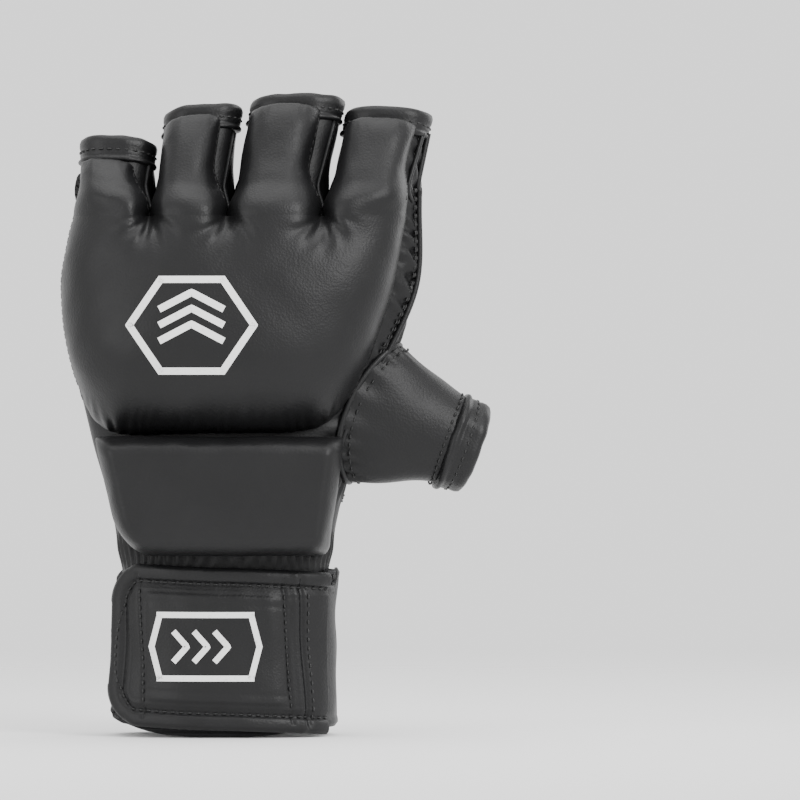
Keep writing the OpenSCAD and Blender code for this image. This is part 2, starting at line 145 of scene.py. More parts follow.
def ripples(p, length, seed, count=10):
    """Soft noise of about -1 to 1 with that wavelength: a few sine waves in fixed random directions."""
    rng = np.random.default_rng(seed)
    total = np.zeros(p.shape[:-1])
    for _ in range(count):
        d = rng.normal(size=3)
        d /= np.linalg.norm(d)
        k = TAU / (length * rng.uniform(0.7, 1.5))
        total += np.sin(p @ d * k + rng.uniform(0, TAU))
    return total / math.sqrt(count)


def grid_normals(g, closed_u=False):
    """Unit normals of a grid of points, pointing along du x dv."""
    if closed_u:
        wrapped = np.concatenate([g[-1:], g, g[:1]], axis=0)
        du = np.gradient(wrapped, axis=0)[1:-1]
    else:
        du = np.gradient(g, axis=0)
    dv = np.gradient(g, axis=1)
    n = np.cross(du, dv)
    return n / np.maximum(np.linalg.norm(n, axis=-1, keepdims=True), 1e-9)


# ---------------------------------------------------------------- mesh makers

def to_metres(points):
    return (np.asarray(points, float) * MM).reshape(-1, 3)


def make_object(name, verts, faces, material, smooth_shaded=True):
    mesh = bpy.data.meshes.new(name)
    mesh.from_pydata(to_metres(verts).tolist(), [], [tuple(int(i) for i in f) for f in faces])
    mesh.validate()
    mesh.update()
    mesh.polygons.foreach_set("use_smooth", [smooth_shaded] * len(mesh.polygons))
    mesh.materials.append(material)
    obj = bpy.data.objects.new(name, mesh)
    bpy.context.scene.collection.objects.link(obj)
    return obj


def grid_of(u, v):
    """The values of u and v at each point of a grid."""
    return np.meshgrid(u, v, indexing="ij")


def row_on(surface, *place, low, high):
    """A path on a surface at offset low, and the way out of it at each point, taken towards offset high."""
    path = surface(*place, low)
    return path, surface(*place, high) - path


def quads(nu, nv, closed_u=False, closed_v=False, keep=None, start=0):
    faces = []
    for i in range(nu if closed_u else nu - 1):
        for j in range(nv if closed_v else nv - 1):
            if keep is None or keep[i % nu, j % nv]:
                a, b = (i + 1) % nu, (j + 1) % nv
                faces.append((start + i * nv + j, start + a * nv + j, start + a * nv + b, start + i * nv + b))
    return faces


def skin(name, g, material, closed_u=False, closed_v=False, keep=None):
    """A surface over a grid of points. keep marks the cells that exist."""
    nu, nv = g.shape[:2]
    return make_object(name, g, quads(nu, nv, closed_u, closed_v, keep), material)


def slab(name, front, back, material):
    """A closed solid between two grids of points of the same size."""
    g = np.concatenate([front, back[:, ::-1]], axis=1)
    nu, nv = g.shape[:2]
    faces = quads(nu, nv, False, True)
    for j in range(front.shape[1] - 1):
        faces.append((j, j + 1, nv - 2 - j, nv - 1 - j))
        last = (nu - 1) * nv
        faces.append((last + nv - 1 - j, last + nv - 2 - j, last + j + 1, last + j))
    return make_object(name, g, faces, material)


def thicken(obj, thickness, offset=-1.0):
    """Gives a surface its thickness, inwards by default, with a closed rim."""
    m = obj.modifiers.new("thickness", "SOLIDIFY")
    m.thickness = thickness * MM
    m.offset = offset
    m.use_even_offset = False
    m.use_rim = True
    return obj


def path_frames(path, up, closed=False):
    """Tangent, side and normal at each point of a path, with the normal close to up."""
    p = np.asarray(path, float)
    if closed:
        t = np.roll(p, -1, axis=0) - np.roll(p, 1, axis=0)
    else:
        t = np.gradient(p, axis=0)
    t /= np.maximum(np.linalg.norm(t, axis=1, keepdims=True), 1e-9)
    up = np.broadcast_to(np.asarray(up, float), p.shape)
    side = np.cross(t, up)
    side /= np.maximum(np.linalg.norm(side, axis=1, keepdims=True), 1e-9)
    return t, side, np.cross(side, t)


def sweep(name, path, up, profile, material, closed=False, scale=None):
    """Sweeps a closed profile of (side, normal) points along a path."""
    p = np.asarray(path, float)
    _, side, normal = path_frames(p, up, closed)
    prof = np.asarray(profile, float)
    s = np.ones(len(p)) if scale is None else np.asarray(scale, float)
    g = (p[:, None] + side[:, None] * (prof[None, :, 0, None] * s[:, None, None])
         + normal[:, None] * (prof[None, :, 1, None] * s[:, None, None]))
    nu, nv = g.shape[:2]
    faces = quads(nu, nv, closed, True)
    if not closed:
        faces.append(tuple(range(nv))[::-1])
        faces.append(tuple((nu - 1) * nv + k for k in range(nv)))
    return make_object(name, g, faces, material)


def round_profile(rx, ry, sides=12):
    a = np.arange(sides) * TAU / sides
    return np.stack([rx * np.cos(a), ry * np.sin(a)], axis=1)


def resample(path, pitch, closed=False):
    """Points along a path a fixed pitch apart, with their positions as fractional indexes."""
    p = np.asarray(path, float)
    if closed:
        p = np.concatenate([p, p[:1]])
    run = np.concatenate([[0], np.cumsum(np.linalg.norm(np.diff(p, axis=0), axis=1))])
    count = max(2, int(round(run[-1] / pitch)) + 1)
    at = np.linspace(0, run[-1], count)
    index = np.interp(at, run, np.arange(len(p)))
    return np.stack([np.interp(at, run, p[:, k]) for k in range(3)], axis=1), index


def stitches(name, path, up, material, pitch=3.2, length=2.1, r=0.42, closed=False, lift=0.15):
    """A row of sewn thread: one short rounded strand per stitch, lying along the path."""
    pts, index = resample(path, pitch, closed)
    up = np.broadcast_to(np.asarray(up, float), np.asarray(path).shape)
    if closed:
        up = np.concatenate([up, up[:1]])
    ups = np.stack([np.interp(index, np.arange(len(up)), up[:, k]) for k in range(3)], axis=1)
    t, side, normal = path_frames(pts, ups)
    rings = np.array([[-0.5, 0.15], [-0.4, 0.7], [-0.15, 1.0], [0.15, 1.0], [0.4, 0.7], [0.5, 0.15]])
    angle = np.arange(6) * TAU / 6
    verts, faces = [], []
    for i in range(len(pts) - (1 if closed else 0)):
        start = len(verts)
        for along, fat in rings:
            sink = -0.9 * r * (abs(along) * 2) ** 3 + lift
            c = pts[i] + t[i] * along * length + normal[i] * sink
            for a in angle:
                verts.append(c + (side[i] * math.cos(a) + normal[i] * math.sin(a)) * r * fat)
        faces += quads(len(rings), 6, False, True, start=start)
    return make_object(name, verts, faces, material)


# ---------------------------------------------------------------- materials

def new_material(name):
    m = bpy.data.materials.new(name)
    m.use_nodes = True
    tree = m.node_tree
    return m, tree, tree.nodes["Principled BSDF"]


def node(tree, kind, **inputs):
    n = tree.nodes.new(kind)
    for key, value in inputs.items():
        n.inputs[key].default_value = value
    return n


def maths(tree, operation, a, b):
    """A math node; a and b are sockets or numbers."""
    n = tree.nodes.new("ShaderNodeMath")
    n.operation = operation
    for socket, value in zip(n.inputs, (a, b)):
        if isinstance(value, (int, float)):
            socket.default_value = value
        else:
            tree.links.new(value, socket)
    return n.outputs[0]


def follow_object(tree, *textures):
    """Lays textures in the object's own coordinates."""
    place = tree.nodes.new("ShaderNodeTexCoord").outputs["Object"]
    for texture in textures:
        tree.links.new(place, texture.inputs["Vector"])


def ramp(tree, value, low, high, low_at=0.0, high_at=1.0):
    """The socket of a colour that runs from low to high with a value."""
    tone = tree.nodes.new("ShaderNodeValToRGB")
    for element, colour, at in zip(tone.color_ramp.elements, (low, high), (low_at, high_at)):
        element.position = at
        element.color = (*colour, 1)
    tree.links.new(value, tone.inputs["Fac"])
    return tone.outputs["Color"]


def tinted(colour, factor):
    return [c * factor for c in colour]


def plus(tree, value, other, weight):
    """A value with a weighted share of another added."""
    return maths(tree, "ADD", value, maths(tree, "MULTIPLY", other, weight))


def emboss(tree, shader, height, strength, distance):
    relief = node(tree, "ShaderNodeBump", Strength=strength, Distance=distance)
    tree.links.new(height, relief.inputs["Height"])
    tree.links.new(relief.outputs["Normal"], shader.inputs["Normal"])


def leather_material(name, colour, roughness, grain=1.0, edge_highlight=0.25):
    """Grained synthetic leather: fine pebbles, pores, faint creases, and a painted highlight on sharp convex
    edges, which are also a little smoother.
    """
    m, tree, shader = new_material(name)
    pebble = node(tree, "ShaderNodeTexVoronoi", Scale=1150.0, Randomness=1.0)
    pebble.feature = "SMOOTH_F1"
    pebble.inputs["Smoothness"].default_value = 0.4
    fine = node(tree, "ShaderNodeTexNoise", Scale=2600.0, Detail=3.0, Roughness=0.6)
    crease = node(tree, "ShaderNodeTexNoise", Scale=150.0, Detail=5.0, Roughness=0.6)
    cloud = node(tree, "ShaderNodeTexNoise", Scale=28.0, Detail=3.0, Roughness=0.55)
    follow_object(tree, pebble, fine, crease, cloud)
    tone = ramp(tree, cloud.outputs["Fac"], tinted(colour, 0.82), tinted(colour, 1.18), 0.3, 0.75)
    # Painted highlight: sharp convex edges get a lighter base colour, and also a little less roughness
    edge = tree.nodes.new("ShaderNodeNewGeometry").outputs["Pointiness"]
    ink_wear_and_edge_highlight = maths(tree, "MULTIPLY", maths(tree, "SUBTRACT", edge, 0.52), 5.0)
    ink_wear_and_edge_highlight = maths(tree, "MINIMUM", maths(tree, "MAXIMUM", ink_wear_and_edge_highlight, 0.0), 1.0)
    ink_wear_and_edge_highlight = maths(tree, "MULTIPLY", ink_wear_and_edge_highlight, edge_highlight)
    blend = tree.nodes.new("ShaderNodeMix")
    blend.data_type = "RGBA"
    tree.links.new(ink_wear_and_edge_highlight, blend.inputs["Factor"])
    tree.links.new(tone, blend.inputs["A"])
    # The lighter colour of the painted edge highlight
    blend.inputs["B"].default_value = (*[min(1, c * 2.6 + 0.01) for c in colour], 1)
    tree.links.new(blend.outputs["Result"], shader.inputs["Base Color"])
    rough = maths(tree, "MULTIPLY", maths(tree, "SUBTRACT", crease.outputs["Fac"], 0.5), 0.16)
    rough = maths(tree, "ADD", rough, roughness)
    rough = maths(tree, "SUBTRACT", rough, maths(tree, "MULTIPLY", ink_wear_and_edge_highlight, 0.2))
    tree.links.new(rough, shader.inputs["Roughness"])
    height = maths(tree, "MULTIPLY", pebble.outputs["Distance"], 0.55)
    height = plus(tree, height, fine.outputs["Fac"], 0.28)
    height = plus(tree, height, crease.outputs["Fac"], 1.1)
    emboss(tree, shader, height, 0.32 * grain, 0.00045)
    shader.inputs["Specular IOR Level"].default_value = 0.23
    shader.inputs["Coat Weight"].default_value = 0.05
    shader.inputs["Coat Roughness"].default_value = 0.35
    return m


def ribbed_material(name, colour, axis, pitch, depth, roughness=0.9, cross=0.35):
    """Woven or knitted textile: ribs a fixed pitch apart along one axis, crossed by finer threads."""
    m, tree, shader = new_material(name)
    ribs = node(tree, "ShaderNodeTexWave", Scale=1000.0 / pitch / 3.1831, Distortion=0.6, Detail=2.0)
    ribs.inputs["Detail Scale"].default_value = 1.5
    ribs.bands_direction = axis
    threads = node(tree, "ShaderNodeTexVoronoi", Scale=1500.0)
    fuzz = node(tree, "ShaderNodeTexNoise", Scale=1800.0, Detail=4.0, Roughness=0.7)
    cloud = node(tree, "ShaderNodeTexNoise", Scale=60.0, Detail=3.0)
    follow_object(tree, ribs, threads, fuzz, cloud)
    height = plus(tree, ribs.outputs["Fac"], threads.outputs["Distance"], cross)
    height = plus(tree, height, fuzz.outputs["Fac"], 0.35)
    shade = plus(tree, maths(tree, "MULTIPLY", height, 0.6), cloud.outputs["Fac"], 0.2)
    tone = ramp(tree, shade, tinted(colour, 0.45), tinted(colour, 1.35), 0.25, 0.9)
    tree.links.new(tone, shader.inputs["Base Color"])
    emboss(tree, shader, height, 0.8, depth * MM)
    shader.inputs["Roughness"].default_value = roughness
    shader.inputs["Specular IOR Level"].default_value = 0.25
    shader.inputs["Sheen Weight"].default_value = 0.05
    shader.inputs["Sheen Roughness"].default_value = 0.4
    return m


def pile_material(name, colour, scale, depth):
    """The fuzzy loops or the small hooks of a touch fastener."""
    m, tree, shader = new_material(name)
    dots = node(tree, "ShaderNodeTexVoronoi", Scale=scale, Randomness=0.7)
    fuzz = node(tree, "ShaderNodeTexNoise", Scale=scale * 2.4, Detail=5.0, Roughness=0.75)
    follow_object(tree, dots, fuzz)
    height = plus(tree, dots.outputs["Distance"], fuzz.outputs["Fac"], 0.8)
    tone = ramp(tree, height, tinted(colour, 0.5), tinted(colour, 1.5))
    tree.links.new(tone, shader.inputs["Base Color"])
    emboss(tree, shader, height, 1.0, depth * MM)
    shader.inputs["Roughness"].default_value = 0.92
    shader.inputs["Sheen Weight"].default_value = 0.08
    return m


def thread_material(name, colour, roughness=0.55):
    """Twisted sewing thread."""
    m, tree, shader = new_material(name)
    twist = node(tree, "ShaderNodeTexWave", Scale=900.0, Distortion=1.0)
    twist.bands_direction = "DIAGONAL"
    follow_object(tree, twist)
    tone = ramp(tree, twist.outputs["Fac"], tinted(colour, 0.6), colour)
    tree.links.new(tone, shader.inputs["Base Color"])
    emboss(tree, shader, twist.outputs["Fac"], 0.5, 0.0001)
    shader.inputs["Roughness"].default_value = roughness
    return m


def print_material(name):
    """Screen-printed off-white ink, thin enough to show the grain and a few worn spots."""
    m, tree, shader = new_material(name)
    pebble = node(tree, "ShaderNodeTexVoronoi", Scale=1150.0, Randomness=1.0)
    ink_wear_and_edge_highlight = node(tree, "ShaderNodeTexNoise", Scale=420.0, Detail=6.0, Roughness=0.7)
    follow_object(tree, pebble, ink_wear_and_edge_highlight)
    tone = ramp(tree, ink_wear_and_edge_highlight.outputs["Fac"], (0.42, 0.42, 0.42), (0.78, 0.78, 0.77), 0.24, 0.42)
    tree.links.new(tone, shader.inputs["Base Color"])
    emboss(tree, shader, pebble.outputs["Distance"], 0.3, 0.0003)
    shader.inputs["Roughness"].default_value = 0.55
    return m


PAD_LEATHER = leather_material("pad_leather", (0.0062, 0.0062, 0.0066), 0.42)
PALM_LEATHER = leather_material("palm_leather", (0.0058, 0.0058, 0.0062), 0.47)
# Edge leather has a stronger painted highlight on its sharp edges
EDGE_LEATHER = leather_material("edge_leather", (0.0068, 0.0068, 0.0072), 0.40, grain=0.8, edge_highlight=0.35)
THUMB_LEATHER = leather_material("thumb_leather", (0.0062, 0.0062, 0.0066), 0.43)
RIBBED_LINING = ribbed_material("ribbed_lining", (0.009, 0.009, 0.0098), "Z", 2.1, 0.5)
STRETCH_KNIT = ribbed_material("stretch_knit", (0.006, 0.006, 0.0063), "X", 1.2, 0.3)
ELASTIC = ribbed_material("elastic_webbing", (0.010, 0.010, 0.011), "Z", 1.05, 0.28, roughness=0.8, cross=0.6)
LOOP_PILE = pile_material("loop_pile", (0.008, 0.008, 0.0085), 1100.0, 0.6)
HOOK_TAPE = pile_material("hook_tape", (0.012, 0.012, 0.0125), 620.0, 0.8)
THREAD = thread_material("black_thread", (0.004, 0.004, 0.0042))
PALE_THREAD = thread_material("pale_thread", (0.30, 0.30, 0.30))
INK = print_material("printed_mark")


# ---------------------------------------------------------------- the hand's own shape

LITTLE_EDGE = [(0, cuff_low[0] - LEATHER), (WRIST_Z, cuff_low[0] - LEATHER + 1.0),
               (mix(WRIST_Z, KNUCKLE_Z, 0.45), mix(cuff_low[0], LITTLE_X, 0.45) - 3.4),
               (mix(WRIST_Z, KNUCKLE_Z, 0.75), mix(cuff_low[0], LITTLE_X, 0.8) - 2),
               (KNUCKLE_Z, LITTLE_X - 0.4), (ROOT_Z, LITTLE_X + 3.5)]
THUMB_EDGE = [(0, cuff_high[0] + LEATHER - 1.2), (WRIST_Z, cuff_high[0] + LEATHER + 0.6),
              (mix(WRIST_Z, KNUCKLE_Z, 0.45), mix(cuff_high[0], THUMB_X, 0.42)),
              (mix(WRIST_Z, KNUCKLE_Z, 0.75), mix(cuff_high[0], THUMB_X, 0.75)),
              (KNUCKLE_Z, THUMB_X - 1), (ROOT_Z, THUMB_X)]
HALF_DEPTH = [(0, CUFF_B + LEATHER), (WRIST_Z, CUFF_B + LEATHER - 1), (120, CUFF_B - 0.4),
              (KNUCKLE_Z, 18.5), (ROOT_Z, ROOT_B + 0.6)]


def hand(t, z, d=0.0):
    """A point of the leather's outer face at direction t, in degrees, and height z; d is outwards."""
    t = np.radians(np.asarray(t, float))
    left, right = smooth(z, LITTLE_EDGE), smooth(z, THUMB_EDGE)
    a, b = (right - left) / 2 + d, smooth(z, HALF_DEPTH) + d
    x = (right + left) / 2 + a * power(np.cos(t), 0.8)
    y = b * power(np.sin(t), 0.8)
    return np.stack(np.broadcast_arrays(x, y, z), axis=-1)


def face_y(x, z, d=0.0):
    """How far the hand's face lies from its middle plane at x and z."""
    left, right = smooth(z, LITTLE_EDGE), smooth(z, THUMB_EDGE)
    k = np.clip(np.abs(x - (right + left) / 2) / ((right - left) / 2 + d), 0, 1)
    return (smooth(z, HALF_DEPTH) + d) * (1 - k**2.5) ** 0.4


# ---------------------------------------------------------------- openings in the palm

OPENING_LOW, OPENING_HIGH = node_box("palm_opening_binding")
EDGE_R = 2.2
OPEN_X = (OPENING_LOW[0] + OPENING_HIGH[0]) / 2
OPEN_W = (OPENING_HIGH[0] - OPENING_LOW[0]) / 2 - EDGE_R * 1.2
OPEN_TOP = OPENING_HIGH[2] - EDGE_R * 1.2
OPEN_H = 13.0
LOBE = 15.0


def opening_outline(a, grow=0.0):
    """x and z of the palm opening's edge at angle a; it has a deep lobe towards the little finger."""
    c, s = np.cos(a), np.sin(a)
    lobe = ease(0.45 - c * 0.9) * LOBE
    x = OPEN_X + (OPEN_W + grow) * power(c, 0.7)
    z = OPEN_TOP - OPEN_H + (OPEN_H + grow + np.where(s < 0, lobe, 0)) * power(s, 0.7)
    return x, z + 2.5 * (x - OPEN_X) / OPEN_W - 1.0


def inside_opening(x, z, grow=0.0):
    """True inside the palm opening's edge."""
    a = np.linspace(0, TAU, 240, endpoint=False)
    ox, oz = opening_outline(a, grow)
    inside = np.zeros(np.shape(x), bool)
    for x0, z0, x1, z1 in zip(ox, oz, np.roll(ox, -1), np.roll(oz, -1)):
        crosses = (z0 > z) != (z1 > z)
        at = x0 + (z - z0) / (z1 - z0 if z1 != z0 else 1e-9) * (x1 - x0)
        inside ^= crosses & (x < at)
    return inside


_, SLIT_HIGH = node_box("wrist_slit_binding")
SLIT_TOP = SLIT_HIGH[2] - 1.5
SLIT_HALF = 3.5


def slit_x(z):
    """x of the wrist slit's middle, which leans towards the thumb as it rises."""
    return mix(-20, -7, (z - 60) / 70)


def inside_slit(x, z):
    over = np.clip(z - (SLIT_TOP - SLIT_HALF), 0, None)
    half = np.sqrt(np.clip(SLIT_HALF**2 - over**2, 0, None))
    return (np.abs(x - slit_x(z)) < half) & (z < SLIT_TOP) & (z > WRIST_Z - 6)


THUMB_T = -6.0
THUMB_SPREAD = 34.0
THUMB_Z = (heel_high[2] + gusset_low[2]) / 2
THUMB_HALF = 25.5


def inside_thumb(t, z, share=1.0):
    t = (np.asarray(t) + 180) % 360 - 180
    return ((t - THUMB_T) / THUMB_SPREAD) ** 2 + ((z - THUMB_Z) / THUMB_HALF) ** 2 < share**2


# ---------------------------------------------------------------- laying lines on surfaces

def surface_of(*grids):
    """A surface to lay lines on, from grids of points; a grid in a (grid, True) pair is closed around."""
    verts, faces = [], []
    for entry in grids:
        g, closed = entry if isinstance(entry, tuple) else (entry, False)
        nu, nv = g.shape[:2]
        faces += quads(nu, nv, closed, start=len(verts))
        verts += g.reshape(-1, 3).tolist()
    return BVHTree.FromPolygons(verts, faces)


def line(points, pitch=1.0, closed=False):
    """A smooth curve through a few points, in any number of dimensions, at about that pitch."""
    p = np.asarray(points, float)
    if closed:
        p = np.concatenate([p[-2:], p, p[:3]])
    run = np.concatenate([[0], np.cumsum(np.linalg.norm(np.diff(p, axis=0), axis=1))])
    low, high = (run[2], run[-3]) if closed else (run[0], run[-1])
    at = np.linspace(low, high, max(3, int((high - low) / pitch)), endpoint=not closed)
    return np.stack([smooth(at, np.stack([run, p[:, k]], axis=1)) for k in range(p.shape[1])], axis=1)


def drape(tree, xz, side=-1, lift=0.0):
    """Lays points given by x and z on a surface: side -1 from the back of the hand, 1 from the palm.

    A point that misses the surface is left out.
    """
    pts, ups = [], []
    for x, z in xz:
        hit, normal, _, _ = tree.ray_cast(Vector((x, side * 300, z)), Vector((0, -side, 0)))
        if hit is None:
            continue
        n = np.array(normal)
        n = n if n[1] * side > 0 else -n
        pts.append(np.array(hit) + n * lift)
        ups.append(n)
    return np.array(pts), np.array(ups)


# ---------------------------------------------------------------- the fingers' own sizes

class Finger:
    """A finger's root, width, length, lean and curl, read from its sleeve and its joint."""

    def __init__(self, name, flare, strip, band, tilt):
        self.name = name
        self.flare = flare
        self.strip = strip
        self.band = band
        self.tilt = tilt
        low, high = node_box(name + "_sleeve")
        joint = JOINTS[name]
        self.lean = joint["axis"][2] / -joint["axis"][0]
        self.x = joint["pos_m"][0] / MM
        self.base_z = low[2]
        self.length = high[2] - low[2]
        self.half = (high[0] - low[0] - self.lean * self.length) / 2
        self.curl = (high[1] - joint["pos_m"][1] / MM) / self.length
        self.depth = ROOT_B

    def share(self, z):
        return np.clip((np.asarray(z, float) - self.base_z) / self.length, 0, 1.1)

    def centre(self, z):
        s = np.asarray(z, float) - self.base_z
        return self.x + self.lean * s - 1.5 * self.share(z), self.curl * np.clip(s, 0, None)

    def half_at(self, z):
        """Half the sleeve's width: it widens a little towards its open end."""
        return self.half + 0.3 + self.flare * self.share(z)


# Flare; bare strip beside the pad; hem left bare above the pad; how much higher the thumb's side ends
FINGERS = [Finger("little", 0.2, 6.5, 7.6, -1.0), Finger("ring", 0.2, 6.5, 3.4, 1.3),
           Finger("middle", 0.2, 7.5, 3.2, 0.2), Finger("index", 0.2, 5.0, 3.6, -0.9)]
SLIT_Z = ROOT_Z - 6.0
PALM_SLIT_Z = ROOT_Z + 4.0


def slit_middle(i, z):
    """x of the slit between finger i and the next one."""
    a, b = FINGERS[i], FINGERS[i + 1]
    return (a.centre(z)[0] + a.half + b.centre(z)[0] - b.half) / 2


def cell(i, z):
    """Left and right edge of the space that finger i has in the hand's section."""
    left = slit_middle(i - 1, z) if i else hand(180, np.minimum(z, PALM_SLIT_Z))[..., 0]
    right = slit_middle(i, z) if i < 3 else hand(0, np.minimum(z, PALM_SLIT_Z))[..., 0]
    return left, right


def finger_ring(i, t, z, d=0.0):
    """A point of finger i's leather tube; near its root it takes up its whole space in the hand."""
    f = FINGERS[i]
    c, s = np.cos(np.radians(t)), np.sin(np.radians(t))
    start = mix(SLIT_Z, PALM_SLIT_Z, ease(0.5 + s * 0.9))
    k = ease((z - start) / ROOT_ROUNDS)
    cx, cy = f.centre(z)
    own_x = cx + (f.half_at(z) - 0.4 + d) * power(c, 0.72)
    own_y = cy + (f.depth + d) * power(s, 0.8)
    left, right = cell(i, z)
    square_c, square_s = np.clip(c * 1.5, -1, 1), np.clip(s * 1.5, -1, 1)
    root_x = (left + right) / 2 + ((right - left) / 2 + d) * square_c
    root_y = square_s * face_y(root_x, np.minimum(z, PALM_SLIT_Z), d)
    return np.stack(np.broadcast_arrays(mix(root_x, own_x, k), mix(root_y, own_y, k), z), axis=-1)


def finger_top(i, t):
    """Height of finger i's open end: its edge stands a little higher in the middle of each side."""
    f = FINGERS[i]
    t = np.radians(t)
    return f.base_z + f.length - 1.4 + 2.4 * np.abs(np.sin(t)) ** 1.3 + f.tilt * np.cos(t)


# ---------------------------------------------------------------- the hand's leather shell

def shell_relief(p, t):
    """Soft unevenness of the leather, stronger in the ruched gusset on the thumb's side."""
    z = p[..., 2]
    t = (t + 180) % 360 - 180
    relief = 0.35 * ripples(p, 34, 3)
    gusset = ease((z - 150) / 10) * ease((t + 40) / 8) * ease((18 - t) / 10)
    folds = np.sin((z * 0.9 + t * 0.34 + 1.6 * ripples(p, 30, 5)) * TAU / 7.5)
    relief = relief + gusset * (0.75 * folds + 0.25 * ripples(p, 5, 9))
    root = np.sqrt(((t - THUMB_T) / THUMB_SPREAD) ** 2 + ((z - THUMB_Z) / THUMB_HALF) ** 2)
    angle = np.arctan2(z - THUMB_Z, (t - THUMB_T) * 0.8)
    relief = relief + 0.5 * bump(root - 1.12, 0.16) * np.sin(angle * 23 + 1.2 * ripples(p, 20, 6))
    return relief


SHELL_T = np.arange(0, 360, 1.0)
SHELL_Z = np.concatenate([np.arange(9.0, PALM_SLIT_Z - 0.5, 1.25), [PALM_SLIT_Z]])
shell_t, shell_z = grid_of(SHELL_T, SHELL_Z)
shell = hand(shell_t, shell_z)
shell_n = grid_normals(shell, True)
palm_side = np.sin(np.radians(shell_t)) > 0
top_fade = ease((PALM_SLIT_Z - shell_z) / 12)
wrist_folds = np.sin(shell_t * TAU / 6.5 + ripples(shell, 20, 14))
wrist_folds = bump(shell_z - WRIST_Z - 2, 5.0) * wrist_folds * ~palm_side
shell = shell + shell_n * (shell_relief(shell, shell_t) * top_fade + 0.7 * wrist_folds)[..., None]
keep = ~(palm_side & inside_opening(shell[..., 0], shell[..., 2], 1.0))
keep &= ~(palm_side & inside_slit(shell[..., 0], shell[..., 2]))
keep &= ~inside_thumb(shell_t, shell_z, 0.93)
keep &= ~(~palm_side & (shell_z > SLIT_Z - 1) & (np.abs(shell[..., 0] - 5) < 50))
hand_shell = thicken(skin("hand_shell", shell, PALM_LEATHER, True, keep=keep), 1.5)
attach(hand_shell, "hand")
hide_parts("palm_panel", "little_side_panel", "thumb_heel_panel", "thumb_side_gusset",
            "back_panel", "cuff_panel")

inner_z = np.concatenate([np.arange(7.0, ROOT_Z - 3, 1.6), [ROOT_Z - 2]])
it, iz = grid_of(np.arange(0, 360, 1.5), inner_z)
inner = hand(it, iz, -LEATHER - LINING)
keep = ~((np.sin(np.radians(it)) > 0) & inside_opening(inner[..., 0], inner[..., 2], 1.5))
keep &= ~inside_thumb(it, iz, 0.9)
inner = inner + grid_normals(inner, True) * (0.5 * ripples(inner, 26, 12))[..., None]
hand_lining = thicken(skin("hand_lining_skin", inner, RIBBED_LINING, True, keep=keep), 1.0)
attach(hand_lining, "hand")
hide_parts("hand_lining", "cuff_lining")


# ---------------------------------------------------------------- the knuckle pad and the finger pads

PAD_LOW = knuckle_low[2]
PAD_CROWN = -knuckle_low[1] + 1.0
pad_left_table = [(PAD_LOW, LITTLE_X + 9.5), (PAD_LOW + 20, LITTLE_X + 1.2), (KNUCKLE_Z, LITTLE_X - 2.3),
                  (SLIT_Z - 9, LITTLE_X - 0.8), (SLIT_Z, LITTLE_X + 2)]
pad_right_table = [(PAD_LOW, THUMB_X - 31), (PAD_LOW + 12, THUMB_X - 24), (PAD_LOW + 37, THUMB_X - 14.5),
                   (KNUCKLE_Z + 3, THUMB_X - 9), (SLIT_Z, THUMB_X - 4.5)]


def pad_section(u, z, rise):
    """A point of the knuckle pad's domed section, u across from 0 to 1, before its grooves."""
    left, right = smooth(z, pad_left_table), smooth(z, pad_right_table)
    a = math.pi * (1 - u)
    x = (left + right) / 2 + (right - left) / 2 * power(np.cos(a), 0.80)
    edge_y = mix(-6.0, -12.0, u)
    crown = smooth(z, [(PAD_LOW, PAD_CROWN - 8), (PAD_LOW + 26, PAD_CROWN), (KNUCKLE_Z - 6, PAD_CROWN - 1),
                       (SLIT_Z, PAD_CROWN - 8)])
    y = edge_y - (crown + edge_y) * np.abs(np.sin(a)) ** 0.68 * rise
    return x, y


def pad_grooves(x, z):
    """How deep the surface dips at the slits, and the gathers that run out from their ends."""
    depth = np.zeros(np.broadcast(x, z).shape)
    for i in range(3):
        gx = slit_middle(i, SLIT_Z)
        below = np.clip(SLIT_Z - z, 0, None)
        width = 3.2 + below * 0.55
        depth = depth + 17.0 * np.exp(-below / 4.6) * np.exp(-(np.abs(x - gx) / width) ** 1.35)
        r = np.hypot(x - gx, below)
        angle = np.arctan2(x - gx, below + 1.0)
        gathers = np.cos(angle * 11 + i * 0.7 + 0.25 * r)
        depth = depth + 0.55 * gathers * np.exp(-((r - 7) / 5.5) ** 2)
    return depth


def pad_row(u, z, rise=1.0):
    x, y = pad_section(u, z, rise)
    y = np.minimum(y + pad_grooves(x, z) * np.clip(rise, 0, 1), -5.0 + 0 * x)
    return np.stack(np.broadcast_arrays(x, y, z), axis=-1)


NU = 200
pad_u = np.linspace(0, 1, NU + 1)
pad_u = pad_u + 0.035 * np.sin(pad_u * TAU)
pad_edge_z = PAD_LOW - 2.5 + 13 * np.abs(2 * pad_u - 1) ** 4.0
ROLL = 20.0
roll_angle = np.linspace(0, math.pi / 2, 34)
rows = []
for a in roll_angle:
    z = pad_edge_z + ROLL * (1 - math.cos(a)) - 4.2 * math.sin(2 * a)
    rows.append(pad_row(pad_u, z, math.sin(a) ** 0.78 + 1e-4))
for k in np.linspace(0, 1, 58)[1:]:
    rows.append(pad_row(pad_u, mix(pad_edge_z + ROLL, SLIT_Z, k)))
pad = np.stack(rows, axis=1)
pad_n = -grid_normals(pad)
below_pad = pad[..., 2] - (pad_edge_z[:, None])
relief = 0.45 * ripples(pad, 46, 21) + 0.12 * ripples(pad, 16, 22)
gather = bump(below_pad - 1.0, 5.0) * (0.30 * np.sin(pad[..., 0] * TAU / 4.6 + 1.6 * ripples(pad, 17, 23)))
gather = gather * (0.65 + 0.35 * ripples(pad, 22, 24))
fade = np.clip((SLIT_Z - pad[..., 2]) / 8, 0, 1)
pad = pad + pad_n * ((relief * fade + gather)[..., None])

